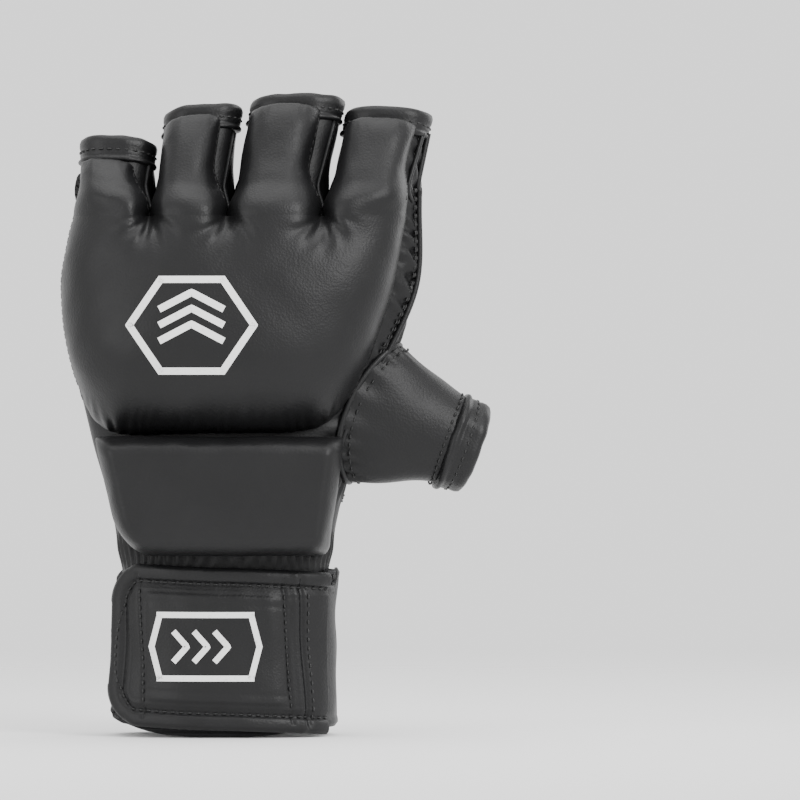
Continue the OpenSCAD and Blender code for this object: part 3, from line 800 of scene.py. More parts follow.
# Both sides of the pad turn in under it, to where it is sewn down
left_tuck = [pad[0] + [x, y, 0.0] for x, y in ((12.0, 4.5), (7.0, 4.0), (3.0, 2.8), (0.8, 1.2))]
right_tuck = [pad[-1] + [x, y, 0.0] for x, y in ((-0.6, 1.2), (-2.6, 2.6), (-7.0, 3.6))]
tucked_pad = np.concatenate([left_tuck, pad, right_tuck])
knuckle_pad = skin("knuckle_pad", tucked_pad, PAD_LEATHER)
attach(knuckle_pad, "hand")
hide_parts("knuckle_pad_cover", "knuckle_pad_foam")


def lobe_grid(i):
    """Finger i's pad: it carries on from the knuckle pad's last row and rounds over below the hem."""
    f = FINGERS[i]
    left, right = (float(v) for v in cell(i, np.array(SLIT_Z)))
    root_x = pad[:, -1, 0]
    left = root_x[0] if i == 0 else left
    right = root_x[-1] if i == 3 else right
    n = 44
    a = np.linspace(math.pi, 0, n + 1)
    want = (left + right) / 2 + (right - left) / 2 * power(np.cos(a), 0.9)
    root = np.stack([want] + [np.interp(want, root_x, pad[:, -1, k]) for k in (1, 2)], axis=1)
    end_z = f.base_z + f.length - f.band
    rows = [root]
    top_roll = 11.0
    straight = np.linspace(SLIT_Z, end_z - top_roll + 4.0, 26)[1:]
    rolled = np.linspace(0, math.pi / 2, 26)[1:]
    z_rise = [(z, 1.0, 0.0) for z in straight]
    for b in rolled:
        z_rise.append((end_z - top_roll * (1 - math.sin(b)) + 4.0 * (1 - math.sin(b) ** 3)
                       + 1.2 * math.sin(2 * b), math.cos(b) ** 0.55, math.sin(b)))
    crest_root = 0.78 * PAD_CROWN
    for z, rise, turn in z_rise:
        cx, cy = f.centre(z)
        k = ease((z - SLIT_Z) / ROOT_ROUNDS)
        strip = f.strip * ease((z - SLIT_Z) / 20)
        half = f.half_at(z) - 0.4 - strip / 2 - 1.6 * turn**4
        share = np.clip((z - SLIT_Z) / (end_z - SLIT_Z), 0, 1)
        crest = mix(crest_root, f.depth + 8.5, share**0.85)
        across = power(np.cos(a), 0.72)
        x = cx - strip / 2 + half * across
        side_y = cy - f.depth * 0.55
        y = side_y - (crest - f.depth * 0.55) * np.maximum(np.sin(a), 0) ** 0.62 * rise - rise * 0.5
        arch = turn * (f.tilt * across - 3.0 * np.abs(across) ** 3.5)
        own = np.stack([x, y, z + arch], axis=1)
        rows.append(mix(root + [0, 0, z - SLIT_Z], own, k))
    g = np.stack(rows, axis=1)
    normal = -grid_normals(g)
    fade = ease((g[..., 2] - SLIT_Z) / 10)
    relief = (0.3 * ripples(g, 26, 30 + i) + 0.08 * ripples(g, 7, 40 + i)) * fade
    hem_gathers = bump(g[..., 2] - end_z, 4.0) * 0.07 * np.sin(g[..., 0] * TAU / 3.4 + i)
    return g + normal * (relief + hem_gathers)[..., None]


def finger_blend(obj, f, z0=None, z1=None):
    """Bakes a finger piece's placement into its mesh."""
    z0 = ROOT_Z + 1 if z0 is None else z0
    z1 = f.base_z + 15 if z1 is None else z1
    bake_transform(obj)


lobes = [lobe_grid(i) for i in range(4)]
for i, f in enumerate(FINGERS):
    lobe = skin(f.name + "_pad", lobes[i], PAD_LEATHER)
    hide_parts(f.name + "_pad_cover", f.name + "_pad_foam")
    finger_blend(lobe, f)

    t = np.arange(0, 360, 4.0)
    start = mix(SLIT_Z - 1, PALM_SLIT_Z - 0.3, ease(0.5 + np.sin(np.radians(t)) * 0.9))
    top = finger_top(i, t) - 1.0
    v = np.linspace(0, 1, 34)
    zz = mix(start[:, None], top[:, None], v[None, :])
    tube = finger_ring(i, t[:, None], zz)
    tn = grid_normals(tube, True)
    grown = ease((zz - start[:, None]) / 8)
    relief = 0.22 * ripples(tube, 18, 50 + i) * grown
    if i == 3:
        side = ease((np.cos(np.radians(t)) - 0.55) / 0.3)[:, None]
        folds = np.sin((zz * 0.9 + t[:, None] * 0.2 + 1.6 * ripples(tube, 30, 5)) * TAU / 7.5)
        relief = relief + side * 0.6 * folds * grown
    tube = tube + tn * relief[..., None]
    sleeve = thicken(skin(f.name + "_sleeve_leather", tube, PALM_LEATHER, True), 1.6)
    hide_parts(f.name + "_sleeve")
    finger_blend(sleeve, f)

    lin_z = mix(start[:, None] - 6, top[:, None] - 0.5, v[None, :])
    lin = finger_ring(i, t[:, None], np.maximum(lin_z, SLIT_Z - 4), -3.1)
    inner_sleeve = thicken(skin(f.name + "_sleeve_lining", lin, RIBBED_LINING, True), 0.7)
    finger_blend(inner_sleeve, f)

    t = np.arange(0, 360, 3.0)
    profile = [(-3.0, -9.0), (-3.0, -5), (-2.9, -2.0), (-2.4, -0.4), (-1.3, 0.7), (-0.2, 0.9), (0.6, 0.4),
               (1.0, -0.7), (0.95, -2.4), (0.6, -3.4), (0.7, -4.8), (0.6, -5.8), (0.45, -6.4), (1.1, -6.9),
               (1.35, -7.5), (1.1, -8.2), (0.3, -8.7), (-0.6, -8.9)]
    top = finger_top(i, t)
    hem = np.stack([finger_ring(i, t, top + s, d) for d, s in profile], axis=1)
    wav = 0.16 * ripples(hem, 9, 60 + i)
    hem = hem + grid_normals(hem, True) * wav[..., None]
    hem_obj = skin(f.name + "_hem_fold", hem, EDGE_LEATHER, True)
    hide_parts(f.name + "_hem")
    finger_blend(hem_obj, f)
    row, out = row_on(finger_ring, i, t, top - 4.2, low=0.65, high=2.5)
    sewn = stitches(f.name + "_hem_stitches", row, out, THREAD, closed=True)
    finger_blend(sewn, f)


# ---------------------------------------------------------------- the backhand pad

bh_x0, bh_x1 = backhand_low[0], backhand_high[0]
bh_z0, bh_z1 = backhand_low[2] - 4.0, backhand_high[2] + 1.5
BACKHAND_MIDDLE = (bh_x0 + bh_x1) / 2
NB_U, NB_V = 120, 66
BACKHAND_LEFT = (BACKHAND_MIDDLE - 39.5, BACKHAND_MIDDLE - 50.0)
BACKHAND_RIGHT = (BACKHAND_MIDDLE + 41.5, BACKHAND_MIDDLE + 47.5)


def eased_steps(n, share):
    """Positions from 0 to 1, closer together near the ends."""
    k = np.linspace(0, 1, n + 1)
    return k - share * np.sin(k * TAU) / TAU


bu = eased_steps(NB_U, 0.75)[:, None]
bv = eased_steps(NB_V, 0.75)[None, :]
bz = mix(bh_z0, bh_z1, bv) + 0 * bu


def corner_cut(distance, radius):
    """How far a rounded corner draws the outline in, at a distance from the end of its side."""
    k = np.clip(1 - distance / radius, 0, 1)
    return radius * (1 - np.sqrt(1 - k * k))


b_left = (mix(BACKHAND_LEFT[0], BACKHAND_LEFT[1], (bz - bh_z0) / (bh_z1 - bh_z0))
          + corner_cut(bz - bh_z0, 17) + corner_cut(bh_z1 - bz, 3.5))
b_right = (mix(BACKHAND_RIGHT[0], BACKHAND_RIGHT[1], (bz - bh_z0) / (bh_z1 - bh_z0))
           - corner_cut(bz - bh_z0, 6) - corner_cut(bh_z1 - bz, 3.5))
bx = mix(b_left, b_right, bu)
bevel_w = 8.5
side_d = np.minimum(bx - b_left, b_right - bx) / bevel_w
end_d = np.minimum(bz - bh_z0, bh_z1 - bz) / bevel_w


def bevel(k):
    return (1 - (1 - np.clip(k, 0, 1)) ** 2.2) ** 0.5


rise = bevel(side_d) * bevel(end_d)
face = np.interp(bz, [bh_z0, bh_z1], [-backhand_low[1] - 1.5, -backhand_low[1] + 0.5])
hump = 1.6 * (1 - ((bx - (b_left + b_right) / 2) / 48) ** 2)
under = face_y(np.clip(bx, bh_x0 + 6, bh_x1 - 6), bz, 0.5)
by = -(under + (face + hump - 1.6 - under) * rise)
tuck = 4.0 * (1 - np.clip(side_d, 0, 1)) ** 9
bx = bx + tuck * np.sign((b_left + b_right) / 2 - bx)
tuck = 2.0 * (1 - np.clip(end_d, 0, 1)) ** 9
bz = bz + tuck * np.sign((bh_z0 + bh_z1) / 2 - bz)
box_pad = np.stack([bx, by, bz], axis=-1)
box_n = -grid_normals(box_pad)
uneven = 0.3 * ripples(box_pad, 30, 71) + 0.07 * ripples(box_pad, 9, 72)
box_pad = box_pad + box_n * uneven[..., None] * ease(rise * 1.2)[..., None]
backhand_pad = skin("backhand_pad", box_pad, PAD_LEATHER)
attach(backhand_pad, "hand")
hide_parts("backhand_pad_cover", "backhand_pad_foam")


# ---------------------------------------------------------------- the thumb

thumb_joint = JOINTS["thumb"]
UP = np.array(thumb_joint["axis"], float)
turn = math.atan2(UP[1], UP[0])
drop = math.acos(UP[2])
OUT = np.array([math.cos(drop) * math.cos(turn), math.cos(drop) * math.sin(turn), -math.sin(drop)])
SIDE = np.array([-math.sin(turn), math.cos(turn), 0.0])
_, thumb_high = node_box("thumb_sleeve")
TIP_UP, TIP_SIDE = 15.6, 14.2
ROOT_C = np.array(thumb_joint["pos_m"]) / MM - SIDE * 14.0
THUMB_LEN = (thumb_high[0] - ROOT_C[0] - UP[0] * 16.0) / OUT[0]
TIP_C = ROOT_C + OUT * THUMB_LEN


def thumb_point(a, v, d=0.0):
    """A point of the thumb's sleeve at angle a, from the root seam at v = 0 to the open end at 1."""
    a, v = np.broadcast_arrays(a, v)
    c, s = np.cos(a), np.sin(a)
    t = THUMB_T + THUMB_SPREAD * power(s, 0.9)
    z = THUMB_Z + THUMB_HALF * power(c, 0.9)
    p0 = hand(t, z, 0.6)
    n = hand(t, z, 1.6) - p0
    n /= np.linalg.norm(n, axis=-1, keepdims=True)
    p1 = TIP_C + UP * (TIP_UP * power(c, 0.88))[..., None] + SIDE * (TIP_SIDE * power(s, 0.88))[..., None]
    t0 = OUT * 16 + n * 7 + (UP * c[..., None] + SIDE * s[..., None]) * -4
    t1 = OUT * 26
    k = v[..., None]
    h = ((2 * k**3 - 3 * k**2 + 1) * p0 + (k**3 - 2 * k**2 + k) * t0
         + (-2 * k**3 + 3 * k**2) * p1 + (k**3 - k**2) * t1)
    radial = UP * c[..., None] + SIDE * s[..., None]
    return h + radial * (np.asarray(d) * np.ones(v.shape))[..., None]


ta = np.arange(0, TAU, TAU / 120)
tv = np.linspace(0, 1, 46)
thumb = thumb_point(ta[:, None], tv[None, :])
tn = grid_normals(thumb, True)
tn = tn if np.sum(tn[:, 20] * (thumb[:, 20] - thumb[:, 20].mean(axis=0))) > 0 else -tn
root_fade = bump(tv - 0.06, 0.16)[None, :]
folds = np.sin(ta[:, None] * 19 + 1.4 * np.sin(ta[:, None] * 3) + tv[None, :] * 5)
end_fade = bump(tv - 0.84, 0.10)[None, :]
gathers = np.sin(ta[:, None] * 34 + np.sin(ta[:, None] * 5))
relief = 0.5 * ripples(thumb, 24, 81) + 0.5 * root_fade * folds + 0.22 * end_fade * gathers
thumb = thumb + tn * relief[..., None]
thumb_flips = np.sum(np.cross(thumb[1, 20] - thumb[0, 20], thumb[0, 21] - thumb[0, 20])
                     * (thumb[0, 20] - thumb[:, 20].mean(axis=0))) < 0
thumb = thumb[::-1] if thumb_flips else thumb
thumb_sleeve = thicken(skin("thumb_sleeve_leather", thumb, THUMB_LEATHER, True), 1.6)
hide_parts("thumb_sleeve")


def thumb_blend(obj):
    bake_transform(obj)


thumb_blend(thumb_sleeve)
lin = thumb_point(ta[:, None], np.linspace(-0.02, 0.985, 30)[None, :], -2.4)
lin = lin[::-1] if thumb_flips else lin
thumb_lining = thicken(skin("thumb_sleeve_lining", lin, RIBBED_LINING, True), 0.7)
thumb_blend(thumb_lining)

profile = [(-3.0, -0.26), (-3.0, -0.1), (-2.5, 0.0), (-1.0, 0.035), (0.3, 0.04), (1.4, 0.02), (1.9, -0.02),
           (1.8, -0.07), (1.4, -0.10), (1.5, -0.14), (1.3, -0.17), (1.2, -0.185), (1.9, -0.20), (2.2, -0.215),
           (1.9, -0.235), (0.7, -0.25), (-0.8, -0.26)]


def thumb_end(a, step, d):
    """A point near the thumb's open end; step is along the sleeve, as a share of its length."""
    v = 1 + np.minimum(step, 0)
    return thumb_point(a, v * np.ones(np.shape(a)), d) + OUT * (max(step, 0) * THUMB_LEN)


hem = np.stack([thumb_end(ta, s, d) for d, s in profile], axis=1)
if thumb_flips:
    hem = hem[::-1]
hem = hem + grid_normals(hem, True) * (0.15 * ripples(hem, 9, 83))[..., None]
thumb_hem = skin("thumb_hem_fold", hem, EDGE_LEATHER, True)
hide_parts("thumb_hem")
thumb_blend(thumb_hem)
for share, name in ((-0.12, "a"), (-0.28, "b")):
    row, out = row_on(thumb_end, ta, share, low=1.5 if name == "a" else 0.25, high=3.0)
    sewn = stitches("thumb_stitches_" + name, row, out, THREAD, closed=True)
    thumb_blend(sewn)
for share, name in ((0.035, "c"), (0.13, "d")):
    row, out = row_on(thumb_point, ta, share * np.ones(len(ta)), low=0.35, high=1.5)
    sewn = stitches("thumb_stitches_" + name, row, out, THREAD, closed=True)
    thumb_blend(sewn)
piping = thumb_point(ta, 0.0 * ta, 0.2)
out = thumb_point(ta, 0.0 * ta + 0.05, 1.2) - thumb_point(ta, 0.0 * ta + 0.05, 0)
root_profile = round_profile(1.25, 1.05, 10)
root_piping = sweep("thumb_root_piping", piping, out, root_profile, EDGE_LEATHER, closed=True)
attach(root_piping, "hand")


# ---------------------------------------------------------------- seams and trim of the hand

pad_tree = surface_of(pad, *lobes)
shell_tree = surface_of((shell, True))


def piece(obj, body="hand"):
    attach(obj, body)
    return obj


# The palm opening's rolled edge: a padded strip of leather with a piping ridge and a gathered lip
oa = np.linspace(0, TAU, 300, endpoint=False)
ox, oz = opening_outline(oa, 2.4)
ring = np.stack([ox, face_y(ox, oz, 0.4), oz], axis=1)
up = np.stack([ox * 0.004, np.ones(len(ox)), 0 * ox], axis=1)
_, o_side, o_normal = path_frames(ring, up, True)
mid = np.array([OPEN_X, 0, OPEN_TOP - OPEN_H])
if np.sum(o_side * (ring - mid)) < 0:
    o_side = -o_side
prof = [(-3.2, -3.0), (-4.3, -1.6), (-4.5, 0.0), (-3.9, 1.2), (-2.7, 1.9), (-1.5, 1.9), (-0.5, 1.45),
        (0.5, 1.25), (1.2, 1.3), (1.9, 1.75), (2.6, 1.85), (3.3, 1.4), (3.7, 0.5), (3.6, -0.8)]
binding = np.stack([ring + o_side * a + o_normal * b for a, b in prof], axis=1)
lip = np.array([1.0 if a < -1.5 else 0.25 for a, _ in prof])[None, :]
gathered = 0.20 * np.sin(oa * 57 + 2.6 * np.sin(oa * 7)) * (0.6 + 0.4 * np.sin(oa * 5 + 1))
lip_way = o_normal[:, None] * 0.8 - o_side[:, None] * 0.4
binding = binding + lip_way * (lip * gathered[:, None])[..., None]
opening_binding = thicken(skin("palm_opening_edge", binding, EDGE_LEATHER, True), 0.8, 0.0)
piece(opening_binding)
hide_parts("palm_opening_binding")
row = ring + o_side * 0.4 + o_normal * 1.45
piece(stitches("palm_opening_stitches", row, o_normal, THREAD, closed=True))

# The wrist slit's edges and its stretch insert
slit_z = np.arange(WRIST_Z - 5, SLIT_TOP - SLIT_HALF, 1.5)
reach = SLIT_HALF + 1.2
arc = np.radians(np.arange(180, -1, -12))
head_x, head_z = slit_x(SLIT_TOP), SLIT_TOP - SLIT_HALF
slit_head = [(head_x + reach * math.cos(a), head_z + reach * math.sin(a)) for a in arc]
slit_path = ([(slit_x(z) - reach, z) for z in slit_z] + slit_head
             + [(slit_x(z) + reach, z) for z in slit_z[::-1]])
slit_line = line(slit_path, THREAD_GAP)
path = np.stack([slit_line[:, 0], face_y(slit_line[:, 0], slit_line[:, 1], 0.5), slit_line[:, 1]], axis=1)
slit_edge = sweep("wrist_slit_edge", path, (0, 1, 0), round_profile(1.7, 1.15, 10), EDGE_LEATHER)
piece(slit_edge)
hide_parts("wrist_slit_binding")
wide_path = [(x + (3.2 if x > slit_x(z) else -3.2), z + (2.2 if z > SLIT_TOP - 3 else 0))
             for x, z in slit_path]
wide_line = line(wide_path, THREAD_GAP)
path, ups = drape(shell_tree, wide_line, 1, 0.25)
piece(stitches("wrist_slit_stitches", path, ups, THREAD))
insert_z, insert_u = grid_of(np.arange(WRIST_Z - 8, SLIT_TOP + 3, 1.5), np.linspace(-1, 1, 9))
sx = slit_x(insert_z) - insert_u * (SLIT_HALF + 3.5)
insert = np.stack([sx, face_y(sx, insert_z, -2.2), insert_z], axis=-1)
insert[..., 1] += 0.35 * np.sin(insert_z * 1.9)
slit_insert = thicken(skin("wrist_slit_stretch", insert, STRETCH_KNIT), 0.8)
piece(slit_insert)
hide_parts("wrist_slit_insert")

# Webs between the fingers: a folded strip from the palm to the back in each slit
for i, name in enumerate(("web_ring_little", "web_middle_ring", "web_index_middle")):
    gx = slit_middle(i, ROOT_Z)
    y0, y1 = -ROOT_B - 1.5, face_y(np.array(gx), PALM_SLIT_Z, -0.6)
    yy = np.linspace(y0, y1, 22)
    base = mix(SLIT_Z, PALM_SLIT_Z, ease((yy - y0) / (y1 - y0)))
    columns = []
    for k in np.linspace(-1, 1, 7):
        web_z = base + 2.4 - 4.0 * (1 - k * k) + 0.3 * np.sin(yy * 1.7)
        columns.append(np.stack([np.full(22, gx + 2.6 * k), yy, web_z], axis=1))
    g = np.stack(columns)
    web = thicken(skin(name + "_fold", g, PALM_LEATHER), 1.0)
    piece(web)
    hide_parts(name)

# Stitches down both sides of the knuckle pad, and a stitch row and a piping beside each finger's pad
for column, name in ((-5, "knuckle_pad_side_stitches"), (4, "knuckle_pad_little_stitches")):
    seam_up = pad_n[column, 16:]
    piece(stitches(name, pad[column, 16:] + seam_up * 0.1, seam_up, THREAD, pitch=3.0, length=1.9))
for i, f in enumerate(FINGERS):
    g = lobes[i]
    gn = -grid_normals(g)
    ups = gn[-5, 6:-8]
    column = g[-5, 6:-8] + ups * 0.1
    sewn = stitches(f.name + "_pad_side_stitches", column, ups, THREAD, pitch=3.0, length=1.9)
    finger_blend(sewn, f)
    rz = np.arange(SLIT_Z + 3, f.base_z + f.length - 8, 1.5)
    rt = mix(-48.0, -34.0, (rz - rz[0]) / (rz[-1] - rz[0]))
    path, ups = row_on(finger_ring, i, rt, rz, low=0.5, high=3)
    fold = sweep(f.name + "_strip_piping", path, ups, round_profile(0.95, 0.9, 10), EDGE_LEATHER)
    finger_blend(fold, f)

# Piping along the thumb side of the hand, outside the ruched gusset
pz = np.arange(96, PALM_SLIT_Z + 1, 2.0)
pt = smooth(pz, [(96, -36), (118, -34), (150, -19), (172, -9), (PALM_SLIT_Z, -8)])
path, ups = row_on(hand, pt, pz, low=0.9, high=3)
piece(sweep("gusset_piping", path, ups, round_profile(1.2, 1.1, 10), EDGE_LEATHER))
index_z = np.arange(PALM_SLIT_Z - 1, FINGERS[3].base_z + FINGERS[3].length - 8, 1.5)
index_t = mix(-8.0, -14.0, (index_z - index_z[0]) / (index_z[-1] - index_z[0]))
index_path, index_ups = row_on(finger_ring, 3, index_t, index_z, low=0.7, high=3)
finger_piping = sweep("index_gusset_piping", index_path, index_ups, round_profile(1.2, 1.1, 10), EDGE_LEATHER)
finger_blend(finger_piping, FINGERS[3])
for turned, from_z, name in ((-4.0, 128, "a"), (-6.5, 128, "b"), (3.6, 146, "c")):
    path = hand(pt + turned, pz, 0.3)
    use = pz > from_z
    piece(stitches("gusset_stitches_" + name, path[use], ups[use], THREAD))

# Seams of the palm: around the thumb, over the wrist slit, and down the little finger's side
def palm_seam(name, points, twin=2.4):
    xz = line(points, THREAD_GAP)
    path, ups = drape(shell_tree, xz, 1, 0.25)
    piece(stitches(name + "_a", path, ups, THREAD))
    _, side, _ = path_frames(path, ups)
    piece(stitches(name + "_b", path + side * twin, ups, THREAD))
    piece(sweep(name + "_ridge", path + side * twin / 2, ups, round_profile(0.8, 0.45, 8), EDGE_LEATHER))


palm_seam("palm_thumb_seam", [(THUMB_X - 14, 158), (THUMB_X - 26, 148), (THUMB_X - 34, 130),
                              (THUMB_X - 35, 112), (THUMB_X - 32, 96), (THUMB_X - 27, 82),
                              (THUMB_X - 24, WRIST_Z)])
palm_seam("palm_heel_seam", [(slit_x(96) - 9, 70), (slit_x(96) - 12, 92), (slit_x(110) - 13, 116),
                             (slit_x(120) - 9, 134), (slit_x(130) + 1, 141), (slit_x(130) + 11, 138),
                             (slit_x(120) + 17, 124), (slit_x(100) + 18, 100), (slit_x(80) + 16, 72)], 2.0)
sz = np.arange(10, ROOT_Z - 16, 2.0)
path, ups = row_on(hand, 163.0, sz, low=0.2, high=2)
piece(stitches("little_side_stitches_a", path, ups, THREAD))
piece(stitches("little_side_stitches_b", hand(167.0, sz, 0.2), ups, THREAD))
path = hand(165.0, sz, 0.1)
piece(sweep("little_side_ridge", path, ups, round_profile(0.9, 0.5, 8), EDGE_LEATHER))

# Gathered stitches in the crease between the two pads
cx = np.linspace(bh_x0 + 9, bh_x1 - 24, 90)
cz = np.full(90, bh_z1 + 1.2)
path = np.stack([cx, -face_y(np.clip(cx, bh_x0 + 6, bh_x1 - 6), cz, 1.0) - 2.0, cz], axis=1)
crease = sweep("crease_piping", path, (0, -1, 0.2), round_profile(1.3, 1.2, 10), EDGE_LEATHER)
piece(crease)
piece(stitches("crease_stitches", path + [0, -0.8, 1.6], (0, -1, 0.3), THREAD))
sz = np.arange(bh_z0 + 2, bh_z1 - 1, 1.5)
st = mix(-37.0, -40.0, (sz - sz[0]) / (sz[-1] - sz[0]))
path, ups = row_on(hand, st, sz, low=0.5, high=2)
piece(stitches("backhand_side_stitches", path, ups, THREAD))


# ---------------------------------------------------------------- the cuff and the closure

BAND_OUT = LEATHER + 1.2
STRAP_IN = LEATHER + 1.2
STRAP_OUT = STRAP_IN + 2.0
STRAP_T0, STRAP_T1 = 221.0, 331.0
STRAP_FREE = 0.09
MIDDLE_Z = (band_low[2] + band_high[2]) / 2
HALF_BAND = (band_high[2] - band_low[2]) / 2

# The elastic band: ribbed webbing that hugs the wrist, waved a little by its tension
et, ez = grid_of(np.linspace(-25, 205, 180), np.linspace(band_low[2], band_high[2], 56))
edge_wave = 0.7 * ripples(np.stack([et * 0.6, 0 * et, 0 * et], axis=-1), 26, 91)
ez = ez + edge_wave * (ez - MIDDLE_Z) / HALF_BAND
ez = MIDDLE_Z + (ez - MIDDLE_Z) * (1 - 0.22 * ease((et - 148) / 42))
band = hand(et, ez, BAND_OUT)
ribs = 0.16 * np.cos(ez * TAU / 3.1)
roll = 0.5 * bump(np.abs(ez - MIDDLE_Z) - HALF_BAND + 1.6, 1.3)
bn = grid_normals(band)
bn = bn if bn[60, 20, 1] > 0 else -bn
band = band + bn * (ribs + roll + 0.35 * ripples(band, 20, 92))[..., None]
inwards = -1.0 if grid_normals(band)[60, 20, 1] > 0 else 1.0
elastic = thicken(skin("elastic_webbing_band", band, ELASTIC), 1.8, inwards)
piece(elastic)
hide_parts("elastic_band")
for t_row, name in ((15.5, "a"), (19.0, "b"), (-14, "c"), (-17, "d")):
    rz = np.arange(band_low[2] + 3, band_high[2] - 2, 1.5)
    path, ups = row_on(hand, t_row, rz, low=BAND_OUT + 0.45, high=BAND_OUT + 2)
    piece(stitches("band_stitches_" + name, path, ups, THREAD, pitch=2.9, length=2.0))
lt, lz = grid_of(np.linspace(-28, 12, 40), np.linspace(band_low[2] - 0.6, band_high[2] + 0.6, 40))
leaf_z = lz - np.clip(lz - MIDDLE_Z, 0, None) / HALF_BAND * 5.5 * ease((-2 - lt) / 14)
leaf = hand(lt, leaf_z, BAND_OUT + 1.0)
ln = grid_normals(leaf)
ln = ln if ln[30, 20, 0] > 0 else -ln
border = np.minimum(12 - lt, np.minimum(lz - band_low[2] + 0.6, band_high[2] + 0.6 - lz) * 1.2)
leaf = leaf + ln * (0.5 * bump(border - 2.5, 1.8) - 0.3 * bump(border - 6, 1.0) - 0.7 * (border < 0.5)
                    + 0.25 * ripples(leaf, 16, 93))[..., None]
inwards = -1.0 if grid_normals(leaf)[30, 20, 0] > 0 else 1.0
end_piece = thicken(skin("band_end_leather", leaf, PALM_LEATHER), 1.0, inwards)
piece(end_piece)

# The strap: one padded tab whose rim is rolled, with a ridge and stitch rows inside it
STRAP_REACH = (2 * CUFF_A + 2 * CUFF_B - 2) * 0.86
END_R = 15.0
STRAP_HALF = HALF_BAND + 1.2


def strap_half(k):
    s = np.asarray(k) * STRAP_REACH
    rest = STRAP_HALF - END_R
    return np.where(s >= END_R, STRAP_HALF, rest + np.sqrt(np.clip(END_R**2 - (END_R - s) ** 2, 0, None)))


def strap_point(k, up, d):
    z = MIDDLE_Z + 4 * (0.5 - k) + up * strap_half(k)
    k = np.asarray(k, float) + 0 * z
    bent = np.clip((k - STRAP_FREE) / (1 - STRAP_FREE), 0, 1)
    p = hand(mix(STRAP_T0, STRAP_T1, bent), z, d)
    free = np.clip(STRAP_FREE - k, 0, None) * STRAP_REACH
    p = p + free[..., None] * np.array([-0.90, 0.43, 0.0])
    return p + (free**2)[..., None] * np.array([0.004, 0.018, 0])


def strap_flat(k, up):
    return np.stack(np.broadcast_arrays(k * STRAP_REACH, up * strap_half(k)), axis=-1)


end_steps = END_R * (1 - np.cos(np.linspace(0, math.pi / 2, 36)))
strap_steps = np.concatenate([end_steps, np.linspace(END_R, STRAP_REACH, 170)[1:]]) / STRAP_REACH
strap_ups = eased_steps(110, 0.5) * 2 - 1
blunt = strap_ups * (STRAP_HALF - END_R)
outline = np.concatenate([strap_flat(strap_steps[::-1], -1.0), np.stack([0 * blunt, blunt], axis=1),
                          strap_flat(strap_steps, 1.0)])
sk, su = grid_of(strap_steps, strap_ups)
flat = strap_flat(sk, su)
edge = np.min(np.linalg.norm(flat[:, :, None] - outline[None, None], axis=-1), axis=-1)
along, height_z = flat[..., 0], flat[..., 1]
slant = along + height_z * 0.10
rise = 1.15 * np.sqrt(np.clip(1 - ((edge - 2.6) / 2.9) ** 2, 0, 1)) - 0.8 * np.clip(1 - edge / 1.8, 0, 1) ** 2
rise = rise - 0.55 * bump(edge - 6.2, 0.8) + 0.55 * bump(edge - 9.0, 0.9)
inside = ease((edge - 9) / 2)
rise = rise + inside * 0.55
left_row, right_row = STRAP_REACH * 0.20 - 3, STRAP_REACH * 0.735
for at in (left_row, right_row):
    rise = rise - 0.5 * bump(slant - at, 1.0) * (edge > 3)
rise = rise - 0.9 * bump(slant - right_row - 9, 1.6) * ease((edge - 1) / 3)
rise = rise + 0.5 * bump(slant - right_row - 5.5, 2.0)
rect = np.maximum(np.abs(along - STRAP_REACH * 0.47) - 27, np.abs(height_z) - 16.5)
rise = rise - 0.22 * bump(rect, 0.9)
tab = strap_point(sk, su, STRAP_OUT)
sn = strap_point(sk, su, STRAP_OUT + 1) - tab
sn /= np.linalg.norm(sn, axis=-1, keepdims=True)
puff = 0.8 * inside * ease((slant - left_row) / 8) * ease((right_row - slant) / 8)
tab = tab + sn * (rise + puff + 0.28 * ripples(tab, 26, 95) + 0.08 * ripples(tab, 8, 96))[..., None]
strap = slab("strap_leather", strap_point(sk, su, STRAP_OUT - 1.5), tab, PAD_LEATHER)
piece(strap, "strap")
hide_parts("strap_tab", "strap_patch", "strap_edge_binding")
strap_tree = surface_of(tab)


def strap_row(name, flat_points, lift=0.1, pitch=3.2):
    """A stitch row on the strap, given by (distance from the free end, height) pairs."""
    pts = line(flat_points, 1.0)
    pts = pts[(pts[:, 0] > 0.5) & (pts[:, 0] < STRAP_REACH - 0.5)]
    k = pts[:, 0] / STRAP_REACH
    up_ = np.clip(pts[:, 1] / np.maximum(strap_half(k), 0.1), -1, 1)
    gk = np.interp(k, sk[:, 0], np.arange(sk.shape[0]))
    gu = np.interp(up_, su[0], np.arange(su.shape[1]))
    i0 = np.floor(gk).astype(int).clip(0, sk.shape[0] - 2)
    j0 = np.floor(gu).astype(int).clip(0, su.shape[1] - 2)
    fi, fj = (gk - i0)[:, None], (gu - j0)[:, None]
    path = mix(mix(tab[i0, j0], tab[i0 + 1, j0], fi), mix(tab[i0, j0 + 1], tab[i0 + 1, j0 + 1], fi), fj)
    ups = sn[i0, j0]
    piece(stitches(name, path + ups * lift, ups, THREAD, pitch=pitch), body="strap")


